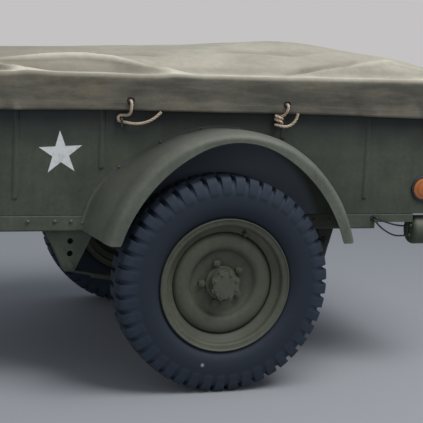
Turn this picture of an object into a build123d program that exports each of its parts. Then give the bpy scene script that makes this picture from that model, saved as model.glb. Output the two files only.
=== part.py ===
"""Two-wheel army cargo trailer: steel tub on a channel frame, canvas cover, leaf springs, prop leg.

X points forward, Y to the left and Z up. The shapes are made about the middle of the axle at
ground level, in millimetres, and moved along X at the end so that the origin is the bottom centre.
"""

import math
import os

from build123d import *

# Tyres
tyre_radius = 360.0
tyre_half_width = 80.0
tread_half_width = 63.0
shoulder = (340.0, 73.0)
lug_low_radius = 298.0
sidewall_flat_radius = 252.0
lug_count = 45
lug_depth = 13.0
groove_width = 15.0
groove_start = 0.625
rib_half_width = 4.0
bead_gap = 0.5

# Wheels
lip_radius = 222.5
rim_half_width = 68.0
rim_seat_radius = 204.0
rim_well_radius = 175.0
rim_well_half_width = 30.0
rim_sheet = 4.0
flange_width = 9.0
disc_sheet = 6.0
disc_edge = 8.0
disc_crest = 34.0
disc_crest_outer = 160.0
disc_crest_inner = 116.0
dish_radius = 97.0
dish_face = 12.0
disc_bend = 12.0
hub_hole_radius = 54.0
nut_circle_radius = 69.85
nut_radius = 12.0
nut_height = 16.0
nut_count = 5

# Hubs and brakes
hub_radius = 46.0
cap_end = 66.0
cap_thickness = 13.0
cap_radius = 44.0
cap_lobes = 8
lobe_radius = 9.5
lobe_circle_radius = 42.0
drum_radius = 120.0
drum_depth = 40.0
drum_wall = 6.0
spindle_radius = 18.0
running_gap = 0.05
drum_gap = 3.0
backing_plate_sheet = 4.0

# Tub
tub_length = 1833.0
tub_width = 973.0
floor_over_axle = 201.0
tub_depth = 457.0
sheet = 3.0
corner_radius = 90.0
rolled_edge_radius = 14.0
rolled_edge_out = 2.0
swage_radius = 14.0
swage_height = 5.0
swages = [(664.0, 60.0), (384.0, 161.0), (-247.0, 267.0), (-571.0, 60.0)]
swage_top = 414.0

# Frame
rail_height = 54.0
rail_flange = 60.0
rail_sheet = 3.0
rail_bend = 6.0
rail_front = 890.0
rail_rear = -770.0
rail_notch = -620.0
rail_notch_height = 23.0
cross_width = 40.0
cross_places = {"front": 870.0, "hanger": 472.0, "shackle": -430.0, "rear": -750.0}

# Springs, counted from the axle
wheel_over_tub = 135.5
spring_inset = 56.5
spring_width = 44.0
leaf_thickness = 7.0
leaf_count = 5
leaf_step = 5.6
spring_front_reach = 472.0
spring_rear_reach = 430.0
spring_seat_drop = 35.0
spring_seat_length = 90.0
eye_radius = 15.0
eye_bolt_radius = 8.0
bolt_end = 8.0
side_gap = 2.0
axle_tube_radius = 25.0
u_bolt_radius = 5.0
u_bolt_tail = 18.0
clamp_plate = 7.0
hanger_drop = 120.0
hanger_depth = 140.0
hanger_top_half = 83.0
hanger_low_half = 16.0
hanger_sheet = 4.0
hanger_foot = 165.0
hanger_hole_radius = 10.0
hanger_holes = [38.0, 80.0]
shackle_drop = 49.0
shackle_lean = 16.0
shackle_sheet = 6.0

# Drawbar
draw_leg_width = 40.0
draw_leg_sheet = 4.0
draw_leg_inset = 86.5
draw_nose = (1660.0, 58.0)
tie_place = 1005.0
tie_width = 44.0
nose_back = 1590.0
nose_front = 1690.0
nose_boss_radius = 26.0
lunette_tip = 1842.0
lunette_hole_radius = 38.0
lunette_section_radius = 16.0
lunette_land = 14.0
shank_radius = 19.0
shank_nut_radius = 23.0
shank_nut = 28.0

# Prop leg
leg_place = 1500.0
leg_pin_drop = 87.0
leg_pin_radius = 8.0
leg_sleeve_radius = 15.0
leg_tube_radius = 19.0
leg_rake = 4.0
leg_plate = 8.0
leg_plate_half = 50.0
ear_gap = 64.0
ear_sheet = 6.0
ear_low = 44.0
ear_half_top = 40.0
ear_half_low = 16.0
stop_radius = 5.0
stop_gap = 0.6
foot_length = 120.0
foot_width = 140.0
foot_sheet = 8.0
foot_corner = 14.0

# Fenders: three arcs along the lip's lower edge, heights counted from the tub's floor
fender_middle = -18.0
fender_top_over_floor = 271.0
fender_end_over_floor = -61.0
fender_top_radius = 287.0
fender_top_half_angle = 27.6
fender_side_radius = 504.0
fender_width = 224.5
fender_lip = 32.0
fender_flange = 28.0
fender_sheet = 3.0
fender_bend = 10.0

# Canvas cover, heights counted from the tub's floor
cover_thickness = 4.0
cover_gap = 2.0
cover_hem_over_floor = 349.0
cover_edge_over_floor = 467.0
cover_rise = 106.0

# Lashings
hook_over_floor = 321.0
hook_rod_radius = 4.0
hook_out = 21.0
hook_bend = 8.0
hook_drop = 26.0
hook_plate = (26.0, 30.0, 3.0)
end_hook_inset = 121.5
side_hooks = [tub_length / 2 - end_hook_inset, 325.0, -222.0, end_hook_inset - tub_length / 2]
end_hooks = [-250.0, 250.0]
eyelet_over_hook = 59.0
eyelet_shift = -27.0
eyelet_outer_radius = 13.5
eyelet_hole_radius = 7.0
eyelet_height = 2.5
rope_radius = 5.0
knot_radius = 12.5

# Lamps and reflectors
reflector_over_floor = 91.0
reflector_side_inset = 116.5
reflector_places = [tub_length / 2 - reflector_side_inset, reflector_side_inset - tub_length / 2]
reflector_rear_inset = 146.5
reflector_radius = 46.0
reflector_height = 8.0
reflector_lens_radius = 38.0
reflector_dome = 7.0
lamp_drop = 66.0
lamp_inset = 41.5
lamp_back = -778.0
lamp_radius = 52.0
lamp_length = 72.0
lamp_dome = 18.0
lamp_lens_radius = 42.0
lamp_lens_recess = 4.0
lamp_bracket_sheet = 4.0
lamp_bracket_width = 24.0
gland_radius = 7.0
gland_length = 8.0
wire_radius = 3.0
wire_hole_place = (-612.0, 16.0)
wire_grommet_radius = 10.0
wire_grommet_height = 4.0

# Sizes that follow from those above
tub_bottom = tyre_radius + floor_over_axle
tub_side = tub_width / 2
rail_low = tub_bottom - rail_height
wheel_middle = tub_side + wheel_over_tub
spring_line = tub_side - spring_inset
spring_inner = spring_line - spring_width / 2 - side_gap
spring_outer = spring_line + spring_width / 2 + side_gap
seat_height = tyre_radius - spring_seat_drop
eye_height = rail_low - hanger_drop
cover_out = rolled_edge_out + rolled_edge_radius + cover_gap + cover_thickness
cover_face = tub_side + cover_out
hook_height = tub_bottom + hook_over_floor
backing_plate_place = wheel_middle + dish_face - drum_depth - drum_gap - backing_plate_sheet
leg_inner_low = rail_low + draw_leg_sheet
leg_inner_high = tub_bottom - draw_leg_sheet
lamp_height = tub_bottom - lamp_drop
lamp_side = tub_side - lamp_inset


def both(shape):
    """A piece of the left side with its mirror image on the right."""
    return Compound([shape, mirror(shape, about=Plane.XZ)])


def wheel_turn(outline):
    """Turn a clockwise outline of (radius, width) points about the wheel's axis."""
    return revolve(make_face(Polyline(outline, close=True)), Axis.Y)


def at_wheel(shape):
    return Pos(0, wheel_middle, tyre_radius) * shape


def side_profile(outline, y_from, y_to):
    """A side outline of (x, z) points given width from y_from to y_to."""
    face = make_face(Plane.XZ * Polyline(outline, close=True))
    return Pos(0, y_to, 0) * extrude(face, y_to - y_from, dir=(0, -1, 0))


def rod(start, end, radius):
    """A round bar between two points."""
    a, b = Vector(*start), Vector(*end)
    return extrude(Plane(origin=a, z_dir=(b - a).normalized()) * Circle(radius), (b - a).length)


def tube(name, points, radius):
    """A cord along points, each corner an arc as large as its two runs allow."""
    stops = [Vector(*p) for p in points]
    bends = []
    for a, b, c in zip(stops, stops[1:], stops[2:]):
        half_turn = math.radians((b - a).get_angle(c - b)) / 2
        bends.append(0.45 * min((b - a).length, (c - b).length) / math.tan(half_turn))
    path = FilletPolyline(*stops, radius=bends)
    print(name, "length", round(path.length, 1), "bends", [round(r, 1) for r in bends])
    section = Plane(origin=stops[0], z_dir=(stops[1] - stops[0]).normalized()) * Circle(radius)
    return sweep(section, path=path)


def ring(apothem, width):
    """A flat-sided outline of the tyre, with one side for each lug and a side on the ground."""
    outline = RegularPolygon(apothem, lug_count, major_radius=False)
    return Pos(0, width, 0) * Rot(-90, 0, 0) * Rot(0, 0, 90 + 180 / lug_count) * outline


def tyre():
    """Flat-sided carcass, with grooves cut between the lugs of each shoulder in turn."""
    outer = [(tyre_radius, tread_half_width), shoulder, (lug_low_radius, tyre_half_width)]
    rows = [(r, -w) for r, w in reversed(outer)] + outer
    body = loft([ring(r, w) for r, w in rows], ruled=True)
    lip_gap = lip_radius + 1.5
    seat = rim_half_width - flange_width - 3 * bead_gap
    for s in (-1, 1):
        wall = [(sidewall_flat_radius, s * tyre_half_width), (lip_gap, s * seat)]
        body -= loft([ring(r, w) for r, w in wall], ruled=True)
    bore = rim_seat_radius + bead_gap
    body -= loft([ring(bore, -seat - 1), ring(bore, seat + 1)], ruled=True)
    floor = tyre_radius - lug_depth
    beyond = tyre_radius + lug_depth
    wide = tyre_half_width + lug_depth
    outline = [(floor, rib_half_width), (floor - 3, tread_half_width - 3),
               (lug_low_radius, tyre_half_width + 0.6), (lug_low_radius, wide), (beyond, wide),
               (beyond, rib_half_width)]
    groove = Pos(0, 0, -groove_width / 2) * extrude(
        make_face(Polyline(outline, close=True)), groove_width, dir=(0, 0, 1))
    far_groove = mirror(groove, about=Plane.XZ)
    step = 360 / lug_count
    near = [Rot(0, step * (i + groove_start), 0) * groove for i in range(lug_count)]
    far = [Rot(0, step * (i + groove_start - 0.5), 0) * far_groove for i in range(lug_count)]
    return at_wheel(body - near - far)


def wheel():
    """Drop-centre rim with a pressed disc, held by nuts round the hub."""
    flange_back = rim_half_width - flange_width
    outer = [
        (lip_radius - 4, rim_half_width),
        (lip_radius, rim_half_width - 4),
        (lip_radius, flange_back),
        (rim_seat_radius, flange_back),
        (rim_seat_radius - 2, rim_well_half_width + 10),
        (rim_well_radius, rim_well_half_width),
    ]
    inner = [
        (rim_well_radius - rim_sheet, rim_well_half_width),
        (rim_seat_radius - 2 - rim_sheet, rim_well_half_width + 12),
        (rim_seat_radius - rim_sheet, flange_back + rim_sheet),
        (lip_radius - 6, flange_back + rim_sheet),
    ]
    section = outer + [(r, -w) for r, w in reversed(outer)] + [(r, -w) for r, w in reversed(inner)] + inner
    body = wheel_turn(section)
    edge = rim_well_radius - rim_sheet
    front = [
        (hub_hole_radius, dish_face + disc_sheet),
        (dish_radius, dish_face + disc_sheet),
        (disc_crest_inner, disc_crest),
        (disc_crest_outer, disc_crest),
        (edge, disc_edge + disc_sheet),
    ]
    back = [
        (edge, disc_edge),
        (disc_crest_outer - 5, disc_crest - disc_sheet),
        (disc_crest_inner + 4, disc_crest - disc_sheet),
        (dish_radius + 2, dish_face),
        (hub_hole_radius, dish_face),
    ]
    face = make_face(Polyline(front + back, close=True))
    corners = [v for v in face.vertices() if dish_radius - 1 < v.X < disc_crest_outer + 1]
    body += revolve(fillet(corners, disc_bend), Axis.Y)
    nut = Cylinder(nut_radius, nut_height, align=(Align.CENTER, Align.CENTER, Align.MIN))
    for i in range(nut_count):
        a = math.radians(360 / nut_count * i)
        spot = (nut_circle_radius * math.cos(a), dish_face + disc_sheet, nut_circle_radius * math.sin(a))
        body += Pos(*spot) * Rot(-90, 0, 0) * nut
    return at_wheel(body)


def hub():
    """Hub barrel with its scalloped cap, and the brake drum behind the wheel disc."""
    drum_back = dish_face - drum_depth
    bore = spindle_radius + running_gap
    inside = cap_end - cap_thickness - drum_wall
    outline = [
        (bore, drum_back + drum_wall),
        (bore, inside),
        (0, inside),
        (0, cap_end),
        (cap_radius, cap_end),
        (cap_radius, cap_end - cap_thickness),
        (hub_radius, cap_end - cap_thickness),
        (hub_radius, dish_face),
        (drum_radius, dish_face),
        (drum_radius, drum_back),
        (drum_radius - drum_wall, drum_back),
        (drum_radius - drum_wall, dish_face - drum_wall),
        (hub_radius, dish_face - drum_wall),
        (hub_radius - drum_wall, drum_back + drum_wall),
    ]
    body = wheel_turn(outline)
    lobe = Cylinder(lobe_radius, cap_thickness, align=(Align.CENTER, Align.CENTER, Align.MIN))
    for i in range(cap_lobes):
        a = math.radians(360 / cap_lobes * (i + 0.5))
        spot = (lobe_circle_radius * math.cos(a), cap_end - cap_thickness, lobe_circle_radius * math.sin(a))
        body += Pos(*spot) * Rot(-90, 0, 0) * lobe
    return at_wheel(body)


def circle_through(p, q, r):
    """Centre and radius of the circle through three side-view points."""
    ax, az, bx, bz, cx, cz = *p, *q, *r
    d = 2 * (ax * (bz - cz) + bx * (cz - az) + cx * (az - bz))
    a2, b2, c2 = ax * ax + az * az, bx * bx + bz * bz, cx * cx + cz * cz
    x = (a2 * (bz - cz) + b2 * (cz - az) + c2 * (az - bz)) / d
    z = (a2 * (cx - bx) + b2 * (ax - cx) + c2 * (bx - ax)) / d
    return x, z, math.hypot(ax - x, az - z)


def spring():
    """Leaves stacked under the axle, each shorter than the one above, with an eye at each end."""
    low_eye = eye_height - eye_radius
    front, rear = (spring_front_reach, low_eye), (-spring_rear_reach, low_eye)
    cx, cz, radius = circle_through(front, (0, seat_height), rear)
    middle = (spring_front_reach - spring_rear_reach) / 2
    half = (spring_front_reach + spring_rear_reach) / 2
    shape = None
    for i in range(leaf_count):
        reach = half * (1 - i / leaf_step)
        turn = math.asin(reach / radius)
        tilt = math.asin((middle - cx) / radius) * (1 - i / leaf_count)
        inner, outer = radius + i * leaf_thickness, radius + (i + 1) * leaf_thickness
        start, end = 1.5 * math.pi - turn + tilt, 1.5 * math.pi + turn + tilt
        ends = [(r, t) for r in (inner, outer) for t in (start, (start + end) / 2, end)]
        a, b, c, d, e, f = [(cx + r * math.cos(t), cz + r * math.sin(t)) for r, t in ends]
        outline = ThreePointArc(a, b, c) + Line(c, f) + ThreePointArc(f, e, d) + Line(d, a)
        band = make_face(Plane.XZ * outline)
        leaf = Pos(0, spring_line + spring_width / 2, 0) * extrude(band, spring_width, dir=(0, -1, 0))
        shape = leaf if shape is None else shape + leaf
    y0, y1 = spring_line - spring_width / 2, spring_line + spring_width / 2
    for x in (spring_front_reach, -spring_rear_reach):
        shape += rod((x, y0, eye_height), (x, y1, eye_height), eye_radius)
    for x in (spring_front_reach, -spring_rear_reach):
        shape -= rod((x, y0 - 1, eye_height), (x, y1 + 1, eye_height), eye_bolt_radius)
    return shape


def axle():
    """Straight tube with a spindle at each end and a pad over each spring."""
    spindle_end = wheel_middle + cap_end - cap_thickness - drum_wall - 3
    plate_back = backing_plate_place
    shape = rod((0, -plate_back, tyre_radius), (0, plate_back, tyre_radius), axle_tube_radius)
    for s in (-1, 1):
        shape += rod((0, s * plate_back, tyre_radius), (0, s * spindle_end, tyre_radius), spindle_radius)
        pad = Box(spring_seat_length, spring_width, spring_seat_drop + 2,
                  align=(Align.CENTER, Align.CENTER, Align.MAX))
        shape += Pos(0, s * spring_line, tyre_radius) * pad
    leaves = spring()
    return shape - leaves - mirror(leaves, about=Plane.XZ)


def backing_plate():
    """Round plate behind the drum, fixed on the axle."""
    face = Circle(drum_radius + backing_plate_sheet) - Circle(spindle_radius)
    return Pos(0, backing_plate_place, tyre_radius) * Rot(-90, 0, 0) * extrude(face, backing_plate_sheet)


def spring_clamp():
    """Two U-bolts over the axle at a spring, through a plate under the leaves."""
    low = seat_height - leaf_count * leaf_thickness - 3
    bend = axle_tube_radius + u_bolt_radius + 0.1
    reach = spring_width / 2 + u_bolt_radius + 1
    hoop = revolve(Pos(bend, 0) * Circle(u_bolt_radius), Axis.Y, 180)
    if hoop.bounding_box().center().Z < 0:
        hoop = Rot(180, 0, 0) * hoop
    plate = Box(spring_seat_length, 2 * (reach + 2 * u_bolt_radius), clamp_plate,
                align=(Align.CENTER, Align.CENTER, Align.MAX))
    shape = Pos(0, spring_line, low) * plate
    for side in (-1, 1):
        y = spring_line + side * reach
        shape += Pos(0, y, tyre_radius) * hoop
        for x in (-bend, bend):
            shape += rod((x, y, low - u_bolt_tail), (x, y, tyre_radius), u_bolt_radius)
    return shape


def front_hanger():
    """Tapered pressed bracket that holds the spring's front eye under the rail."""
    x, low, wall = spring_front_reach, rail_low - hanger_depth, hanger_sheet
    plate = [(x + hanger_top_half, rail_low), (x + hanger_low_half, low),
             (x - hanger_low_half, low), (x - hanger_top_half, rail_low)]
    outer = side_profile(plate, spring_outer, spring_outer + wall)
    for drop in hanger_holes:
        z = rail_low - drop
        outer -= rod((x, spring_outer - 1, z), (x, spring_outer + wall + 1, z), hanger_hole_radius)
    shape = outer + side_profile(plate, spring_inner - wall, spring_inner)
    slope = (hanger_top_half - hanger_low_half) / hanger_depth
    across = 1.2 * wall
    for s, depth in ((1, hanger_depth), (-1, 0.55 * hanger_depth)):
        top, foot = s * hanger_top_half, s * (hanger_top_half - slope * depth)
        web = [(x + top, rail_low), (x + foot, rail_low - depth),
               (x + foot - s * across, rail_low - depth), (x + top - s * across, rail_low)]
        shape += side_profile(web, spring_inner, spring_outer)
    shape += side_profile([(x - hanger_top_half, rail_low), (x + hanger_foot, rail_low),
                           (x + hanger_foot, rail_low - wall), (x - hanger_top_half, rail_low - wall)],
                          spring_inner - wall, spring_outer + wall)
    start, end = spring_inner - wall - bolt_end, spring_outer + wall + bolt_end
    shape += rod((x, start, eye_height), (x, end, eye_height), eye_bolt_radius)
    return shape + rod((x, end - bolt_end, eye_height), (x, end, eye_height), 1.5 * eye_bolt_radius)


def rear_shackle():
    """Two swinging links from the spring's rear eye to a bracket on the rail."""
    x, z = -spring_rear_reach, eye_height
    px, pz = x - shackle_lean, rail_low - shackle_drop
    wall = shackle_sheet
    shape = None
    for y0 in (spring_outer, spring_inner - wall):
        link = rod((x, y0, z), (x, y0 + wall, z), eye_radius)
        link += rod((px, y0, pz), (px, y0 + wall, pz), eye_radius)
        link += side_profile([(x + eye_radius - 2, z + 3), (x - eye_radius + 2, z - 3),
                              (px - eye_radius + 2, pz - 3), (px + eye_radius - 2, pz + 3)], y0, y0 + wall)
        shape = link if shape is None else shape + link
    for bx, bz in ((x, z), (px, pz)):
        shape += rod((bx, spring_inner - wall - bolt_end, bz), (bx, spring_outer + wall + bolt_end, bz),
                     eye_bolt_radius)
    block = [(px + 2 * eye_radius, rail_low), (px + eye_radius, pz - eye_radius + 3),
             (px - eye_radius, pz - eye_radius + 3), (px - 2 * eye_radius, rail_low)]
    return shape + side_profile(block, spring_inner, spring_outer)


def tub_plan(grow):
    return RectangleRounded(tub_length + 2 * grow, tub_width + 2 * grow, corner_radius + grow)


def swage(x, rise, radius):
    """A vertical round-ended bar for the outside or inside of one pressed swage."""
    y = tub_side - swage_radius + swage_height
    low, high = tub_bottom + rise, tub_bottom + swage_top
    shape = rod((x, y, low), (x, y, high), radius)
    return shape + Pos(x, y, low) * Sphere(radius) + Pos(x, y, high) * Sphere(radius)


def tub_side_panel():
    """Flat side sheet with its pressed swages and the rolled top edge."""
    half_flat = tub_length / 2 - corner_radius
    edge_z = tub_bottom + tub_depth - rolled_edge_radius
    wall = Pos(0, tub_side, tub_bottom) * Box(2 * half_flat, sheet, edge_z - tub_bottom,
                                              align=(Align.CENTER, Align.MAX, Align.MIN))
    outside = Pos(0, tub_side, tub_bottom) * Box(tub_length, 2 * swage_radius, tub_depth,
                                                 align=(Align.CENTER, Align.MIN, Align.MIN))
    for x, rise in swages:
        wall += swage(x, rise, swage_radius) & outside
    for x, rise in swages:
        wall -= swage(x, rise, swage_radius - sheet)
    edge_y = tub_side + rolled_edge_out
    return wall + rod((-half_flat, edge_y, edge_z), (half_flat, edge_y, edge_z), rolled_edge_radius)


def tub_end():
    """End sheet that wraps round both front corners, with the rolled top edge."""
    half_flat = tub_length / 2 - corner_radius
    edge_z = tub_bottom + tub_depth - rolled_edge_radius
    keep = Pos(half_flat, 0) * Rectangle(2 * corner_radius, 2 * tub_width, align=(Align.MIN, Align.CENTER))
    band = (tub_plan(0) - tub_plan(-sheet)) & keep
    wall = Pos(0, 0, tub_bottom) * extrude(band, edge_z - tub_bottom)
    straight = tub_side - corner_radius
    edge_x = tub_length / 2 + rolled_edge_out
    wall += rod((edge_x, -straight, edge_z), (edge_x, straight, edge_z), rolled_edge_radius)
    section = Plane.XZ * Pos(corner_radius + rolled_edge_out, 0) * Circle(rolled_edge_radius)
    corner = revolve(section, Axis.Z, 90)
    wall += Pos(half_flat, straight, edge_z) * corner
    return wall + Pos(half_flat, -straight, edge_z) * mirror(corner, about=Plane.XZ)


def tub_floor():
    return Pos(0, 0, tub_bottom) * extrude(tub_plan(-sheet), sheet)


def side_rail():
    """Pressed channel with its back flush with the tub's side, cut away ahead of the tail lamp."""
    length = rail_front - rail_rear
    outer = Rectangle(rail_flange, rail_height, align=(Align.MAX, Align.MIN))
    inner = Pos(-rail_sheet, rail_sheet) * Rectangle(
        rail_flange, rail_height - 2 * rail_sheet, align=(Align.MAX, Align.MIN))
    section = outer - inner
    outside = [v for v in section.vertices() if abs(v.X) < 0.01]
    section = fillet(outside, rail_bend)
    inside = [v for v in section.vertices() if abs(v.X + rail_sheet) < 0.01]
    section = fillet(inside, rail_bend - rail_sheet)
    placed = Plane(origin=(rail_rear, tub_side, rail_low), x_dir=(0, 1, 0), z_dir=(1, 0, 0)) * section
    shape = extrude(placed, length)
    cut = Box(rail_notch - rail_rear + 1, rail_flange + 2, rail_notch_height + 1,
              align=(Align.MIN, Align.MAX, Align.MIN))
    return shape - Pos(rail_rear - 1, tub_side + 1, rail_low - 1) * cut


def cross_member(x):
    """Channel between the rails, opening towards the axle."""
    low, high = rail_low + rail_sheet, tub_bottom - rail_sheet
    if x < rail_notch:
        low = rail_low + rail_notch_height
    half = tub_side - rail_bend
    base = (Align.CENTER, Align.CENTER, Align.MIN)
    shape = Pos(x, 0, low) * Box(cross_width, 2 * half, high - low, align=base)
    toward = -1 if x > 0 else 1
    return shape - Pos(x + toward * rail_sheet, 0, low + rail_sheet) * Box(
        cross_width, 2 * half + 2, high - low - 2 * rail_sheet, align=base)


def draw_leg_y(x, inset=0.0):
    """The drawbar leg's distance from the middle at x, less an inset square to the leg."""
    x0, y0 = rail_front, tub_side - draw_leg_inset
    x1, y1 = draw_nose
    slope = (y1 - y0) / (x1 - x0)
    return y0 + slope * (x - x0) - inset * math.hypot(1, slope)


def draw_leg():
    """Drawbar channel from the front cross member to the nose, open towards the middle."""
    x0, y0 = rail_front, tub_side - draw_leg_inset
    x1, y1 = draw_nose
    wall = draw_leg_sheet
    length = math.hypot(x1 - x0, y1 - y0) + draw_leg_width
    turn = math.degrees(math.atan2(y1 - y0, x1 - x0))
    shape = Box(length, draw_leg_width, rail_height, align=(Align.MIN, Align.CENTER, Align.MIN))
    shape -= Pos(-1, -wall, wall) * Box(length + 2, draw_leg_width, rail_height - 2 * wall,
                                        align=(Align.MIN, Align.CENTER, Align.MIN))
    shape = Pos(x0, y0, rail_low) * Rot(0, 0, turn) * Pos(-draw_leg_width, 0, 0) * shape
    return shape & Pos(x0, 0, rail_low) * Box(2 * length, 4 * y0, 2 * rail_height, align=(
        Align.MIN, Align.CENTER, Align.CENTER))


def between_legs(x_back, x_front, low, high):
    """A block that reaches from one drawbar leg's web to the other's."""
    inset = draw_leg_sheet - draw_leg_width / 2
    a, b = draw_leg_y(x_back, inset), draw_leg_y(x_front, inset)
    face = make_face(Polyline([(x_back, -a), (x_front, -b), (x_front, b), (x_back, a)], close=True))
    return Pos(0, 0, low) * extrude(face, high - low, dir=(0, 0, 1))


def drawbar_tie():
    """Channel between the legs, open below."""
    wall = draw_leg_sheet
    back, front = tie_place - tie_width / 2, tie_place + tie_width / 2
    shape = between_legs(back, front, leg_inner_low, leg_inner_high)
    return shape - between_legs(back + wall, front - wall, leg_inner_low - 1, leg_inner_high - wall)


def nose_block():
    """Casting that joins the legs and takes the lunette's shank."""
    z = (leg_inner_low + leg_inner_high) / 2
    shape = between_legs(nose_back, draw_nose[0], leg_inner_low, leg_inner_high)
    shape += rod((draw_nose[0], 0, z), (nose_front, 0, z), nose_boss_radius)
    return shape - rod((nose_back - 1, 0, z), (nose_front + 1, 0, z), shank_radius)


def lunette():
    """Towing ring with a narrow flat land round its hole, its shank and the nut behind."""
    z = (leg_inner_low + leg_inner_high) / 2
    flat = lunette_section_radius - math.sqrt(lunette_section_radius ** 2 - (lunette_land / 2) ** 2)
    middle = lunette_hole_radius + lunette_section_radius - flat
    ring_x = lunette_tip - middle - lunette_section_radius
    wide = 4 * lunette_section_radius
    beyond_hole = Pos(lunette_hole_radius, 0) * Rectangle(wide, wide, align=(Align.MIN, Align.CENTER))
    section = Plane.XZ * (Pos(middle, 0) * Circle(lunette_section_radius)) & Plane.XZ * beyond_hole
    shape = Pos(ring_x, 0, z) * revolve(section, Axis.Z)
    shape += rod((nose_back - shank_nut, 0, z), (ring_x - middle, 0, z), shank_radius)
    return shape + rod((nose_back - shank_nut, 0, z), (nose_back, 0, z), shank_nut_radius)


def leg_bracket():
    """Plate between the drawbar legs with two ears, the leg's pin and the bar that it stops against."""
    x, top = leg_place, leg_inner_high - leg_plate
    pin_z = tub_bottom - leg_pin_drop
    shape = between_legs(x - leg_plate_half, x + leg_plate_half, top, leg_inner_high)
    stop_drop = ear_low - 2 * stop_radius
    lean = math.radians(leg_rake)
    stop_x = x + stop_drop * math.tan(lean) + leg_tube_radius / math.cos(lean) + stop_radius + stop_gap
    stop_z = pin_z - stop_drop
    ear = [(x - ear_half_top, top), (x - ear_half_low, pin_z - ear_half_low), (x, pin_z - ear_low),
           (stop_x + 2 * stop_radius, pin_z - ear_low), (x + ear_half_top, top)]
    for s in (-1, 1):
        near, far = s * ear_gap / 2, s * (ear_gap / 2 + ear_sheet)
        shape += side_profile(ear, min(near, far), max(near, far))
    reach = ear_gap / 2 + ear_sheet
    shape += rod((stop_x, -reach, stop_z), (stop_x, reach, stop_z), stop_radius)
    return shape + rod((x, -reach - bolt_end, pin_z), (x, reach + bolt_end, pin_z), leg_pin_radius)


def leg_foot_x():
    pin_z = tub_bottom - leg_pin_drop
    return leg_place + (pin_z - foot_sheet) * math.tan(math.radians(leg_rake))


def landing_leg():
    """Tube that swings on the pin by its sleeve, raked forward a little."""
    pin_z = tub_bottom - leg_pin_drop
    slope = math.tan(math.radians(leg_rake))
    low = foot_sheet / 2
    shape = rod((leg_place, 0, pin_z), (leg_place + (pin_z - low) * slope, 0, low), leg_tube_radius)
    shape -= Box(4 * leg_place, ear_gap, 2 * foot_sheet)
    half = ear_gap / 2 - side_gap
    shape += rod((leg_place, -half, pin_z), (leg_place, half, pin_z), leg_sleeve_radius)
    bore = leg_pin_radius + running_gap
    return shape - rod((leg_place, -half - 1, pin_z), (leg_place, half + 1, pin_z), bore)


def leg_foot():
    plate = RectangleRounded(foot_length, foot_width, foot_corner)
    return Pos(leg_foot_x(), 0, 0) * extrude(plate, foot_sheet)


def arch_face(grow):
    """The wheel arch seen from the side, grown outwards from the lip's lower edge."""
    top = tub_bottom + fender_top_over_floor + grow
    r1, r2 = fender_top_radius + grow, fender_side_radius + grow
    t1 = math.radians(fender_top_half_angle)
    knee_x, knee_z = r1 * math.sin(t1), top - r1 + r1 * math.cos(t1)
    cx, cz = knee_x - r2 * math.sin(t1), knee_z - r2 * math.cos(t1)
    t2 = math.acos((tub_bottom + fender_end_over_floor - cz) / r2)

    def side(t, s):
        return (fender_middle + s * (cx + r2 * math.sin(t)), cz + r2 * math.cos(t))

    half = (t1 + t2) / 2
    line = ThreePointArc(side(t2, -1), side(half, -1), side(t1, -1))
    line += ThreePointArc(side(t1, -1), (fender_middle, top), side(t1, 1))
    line += ThreePointArc(side(t1, 1), side(half, 1), side(t2, 1))
    line += Line(side(t2, 1), side(t2, -1))
    return make_face(Plane.XZ * line)


def fender():
    """Three-centre arch of sheet with a lip outside and a bolting flange against the tub."""
    y0, y1 = tub_side, tub_side + fender_width

    def block(grow, y_to, bend):
        body = Pos(0, y_to, 0) * extrude(arch_face(grow), y_to - y0, dir=(0, -1, 0))
        rim = [e for e in body.edges() if e.geom_type == GeomType.CIRCLE and abs(e.center().Y - y_to) < 0.01]
        return fillet(rim, bend)

    shape = block(fender_lip, y1, fender_bend)
    shape -= block(fender_lip - fender_sheet, y1 - fender_sheet, fender_bend - fender_sheet)
    shape -= Pos(0, y1 + 1, 0) * extrude(arch_face(0), y1 - y0 + 2, dir=(0, -1, 0))
    flange = arch_face(fender_lip + fender_flange) - arch_face(fender_lip - fender_sheet)
    return shape + Pos(0, y0 + fender_sheet, 0) * extrude(flange, fender_sheet, dir=(0, -1, 0))


def cover():
    """Canvas cover: a crowned top over a hanging skirt, open below."""
    half_x, half_y = tub_length / 2 + cover_out, tub_width / 2 + cover_out
    rx = (half_x ** 2 + cover_rise ** 2) / (2 * cover_rise)
    ry = (half_y ** 2 + cover_rise ** 2) / (2 * cover_rise)
    top = tub_bottom + cover_edge_over_floor + cover_rise
    hem = tub_bottom + cover_hem_over_floor

    def dome(shrink, low):
        block = Pos(0, 0, low) * extrude(tub_plan(cover_out - shrink), top - low + 1)
        across = rod((-half_x - 1, 0, top - ry), (half_x + 1, 0, top - ry), ry - shrink)
        along = rod((0, -half_y - 1, top - rx), (0, half_y + 1, top - rx), rx - shrink)
        return block & across & along

    return dome(0, hem) - dome(cover_thickness, hem - 1)


def tie_hook():
    """Rope hook on its plate, standing out from a wall at y = 0 with its point down."""
    length, height, thick = hook_plate
    plate = Box(length, thick, height, align=(Align.CENTER, Align.MIN, Align.CENTER))
    straight = hook_out - hook_bend
    shape = plate + rod((0, 0, 0), (0, straight, 0), hook_rod_radius)
    elbow = revolve(Plane.XZ * Circle(hook_rod_radius), Axis((0, 0, -hook_bend), (1, 0, 0)), -90)
    shape += Pos(0, straight, 0) * elbow
    shape += rod((0, hook_out, -hook_bend), (0, hook_out, -hook_drop), hook_rod_radius)
    return shape + Pos(0, hook_out, -hook_drop) * Sphere(hook_rod_radius)


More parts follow.
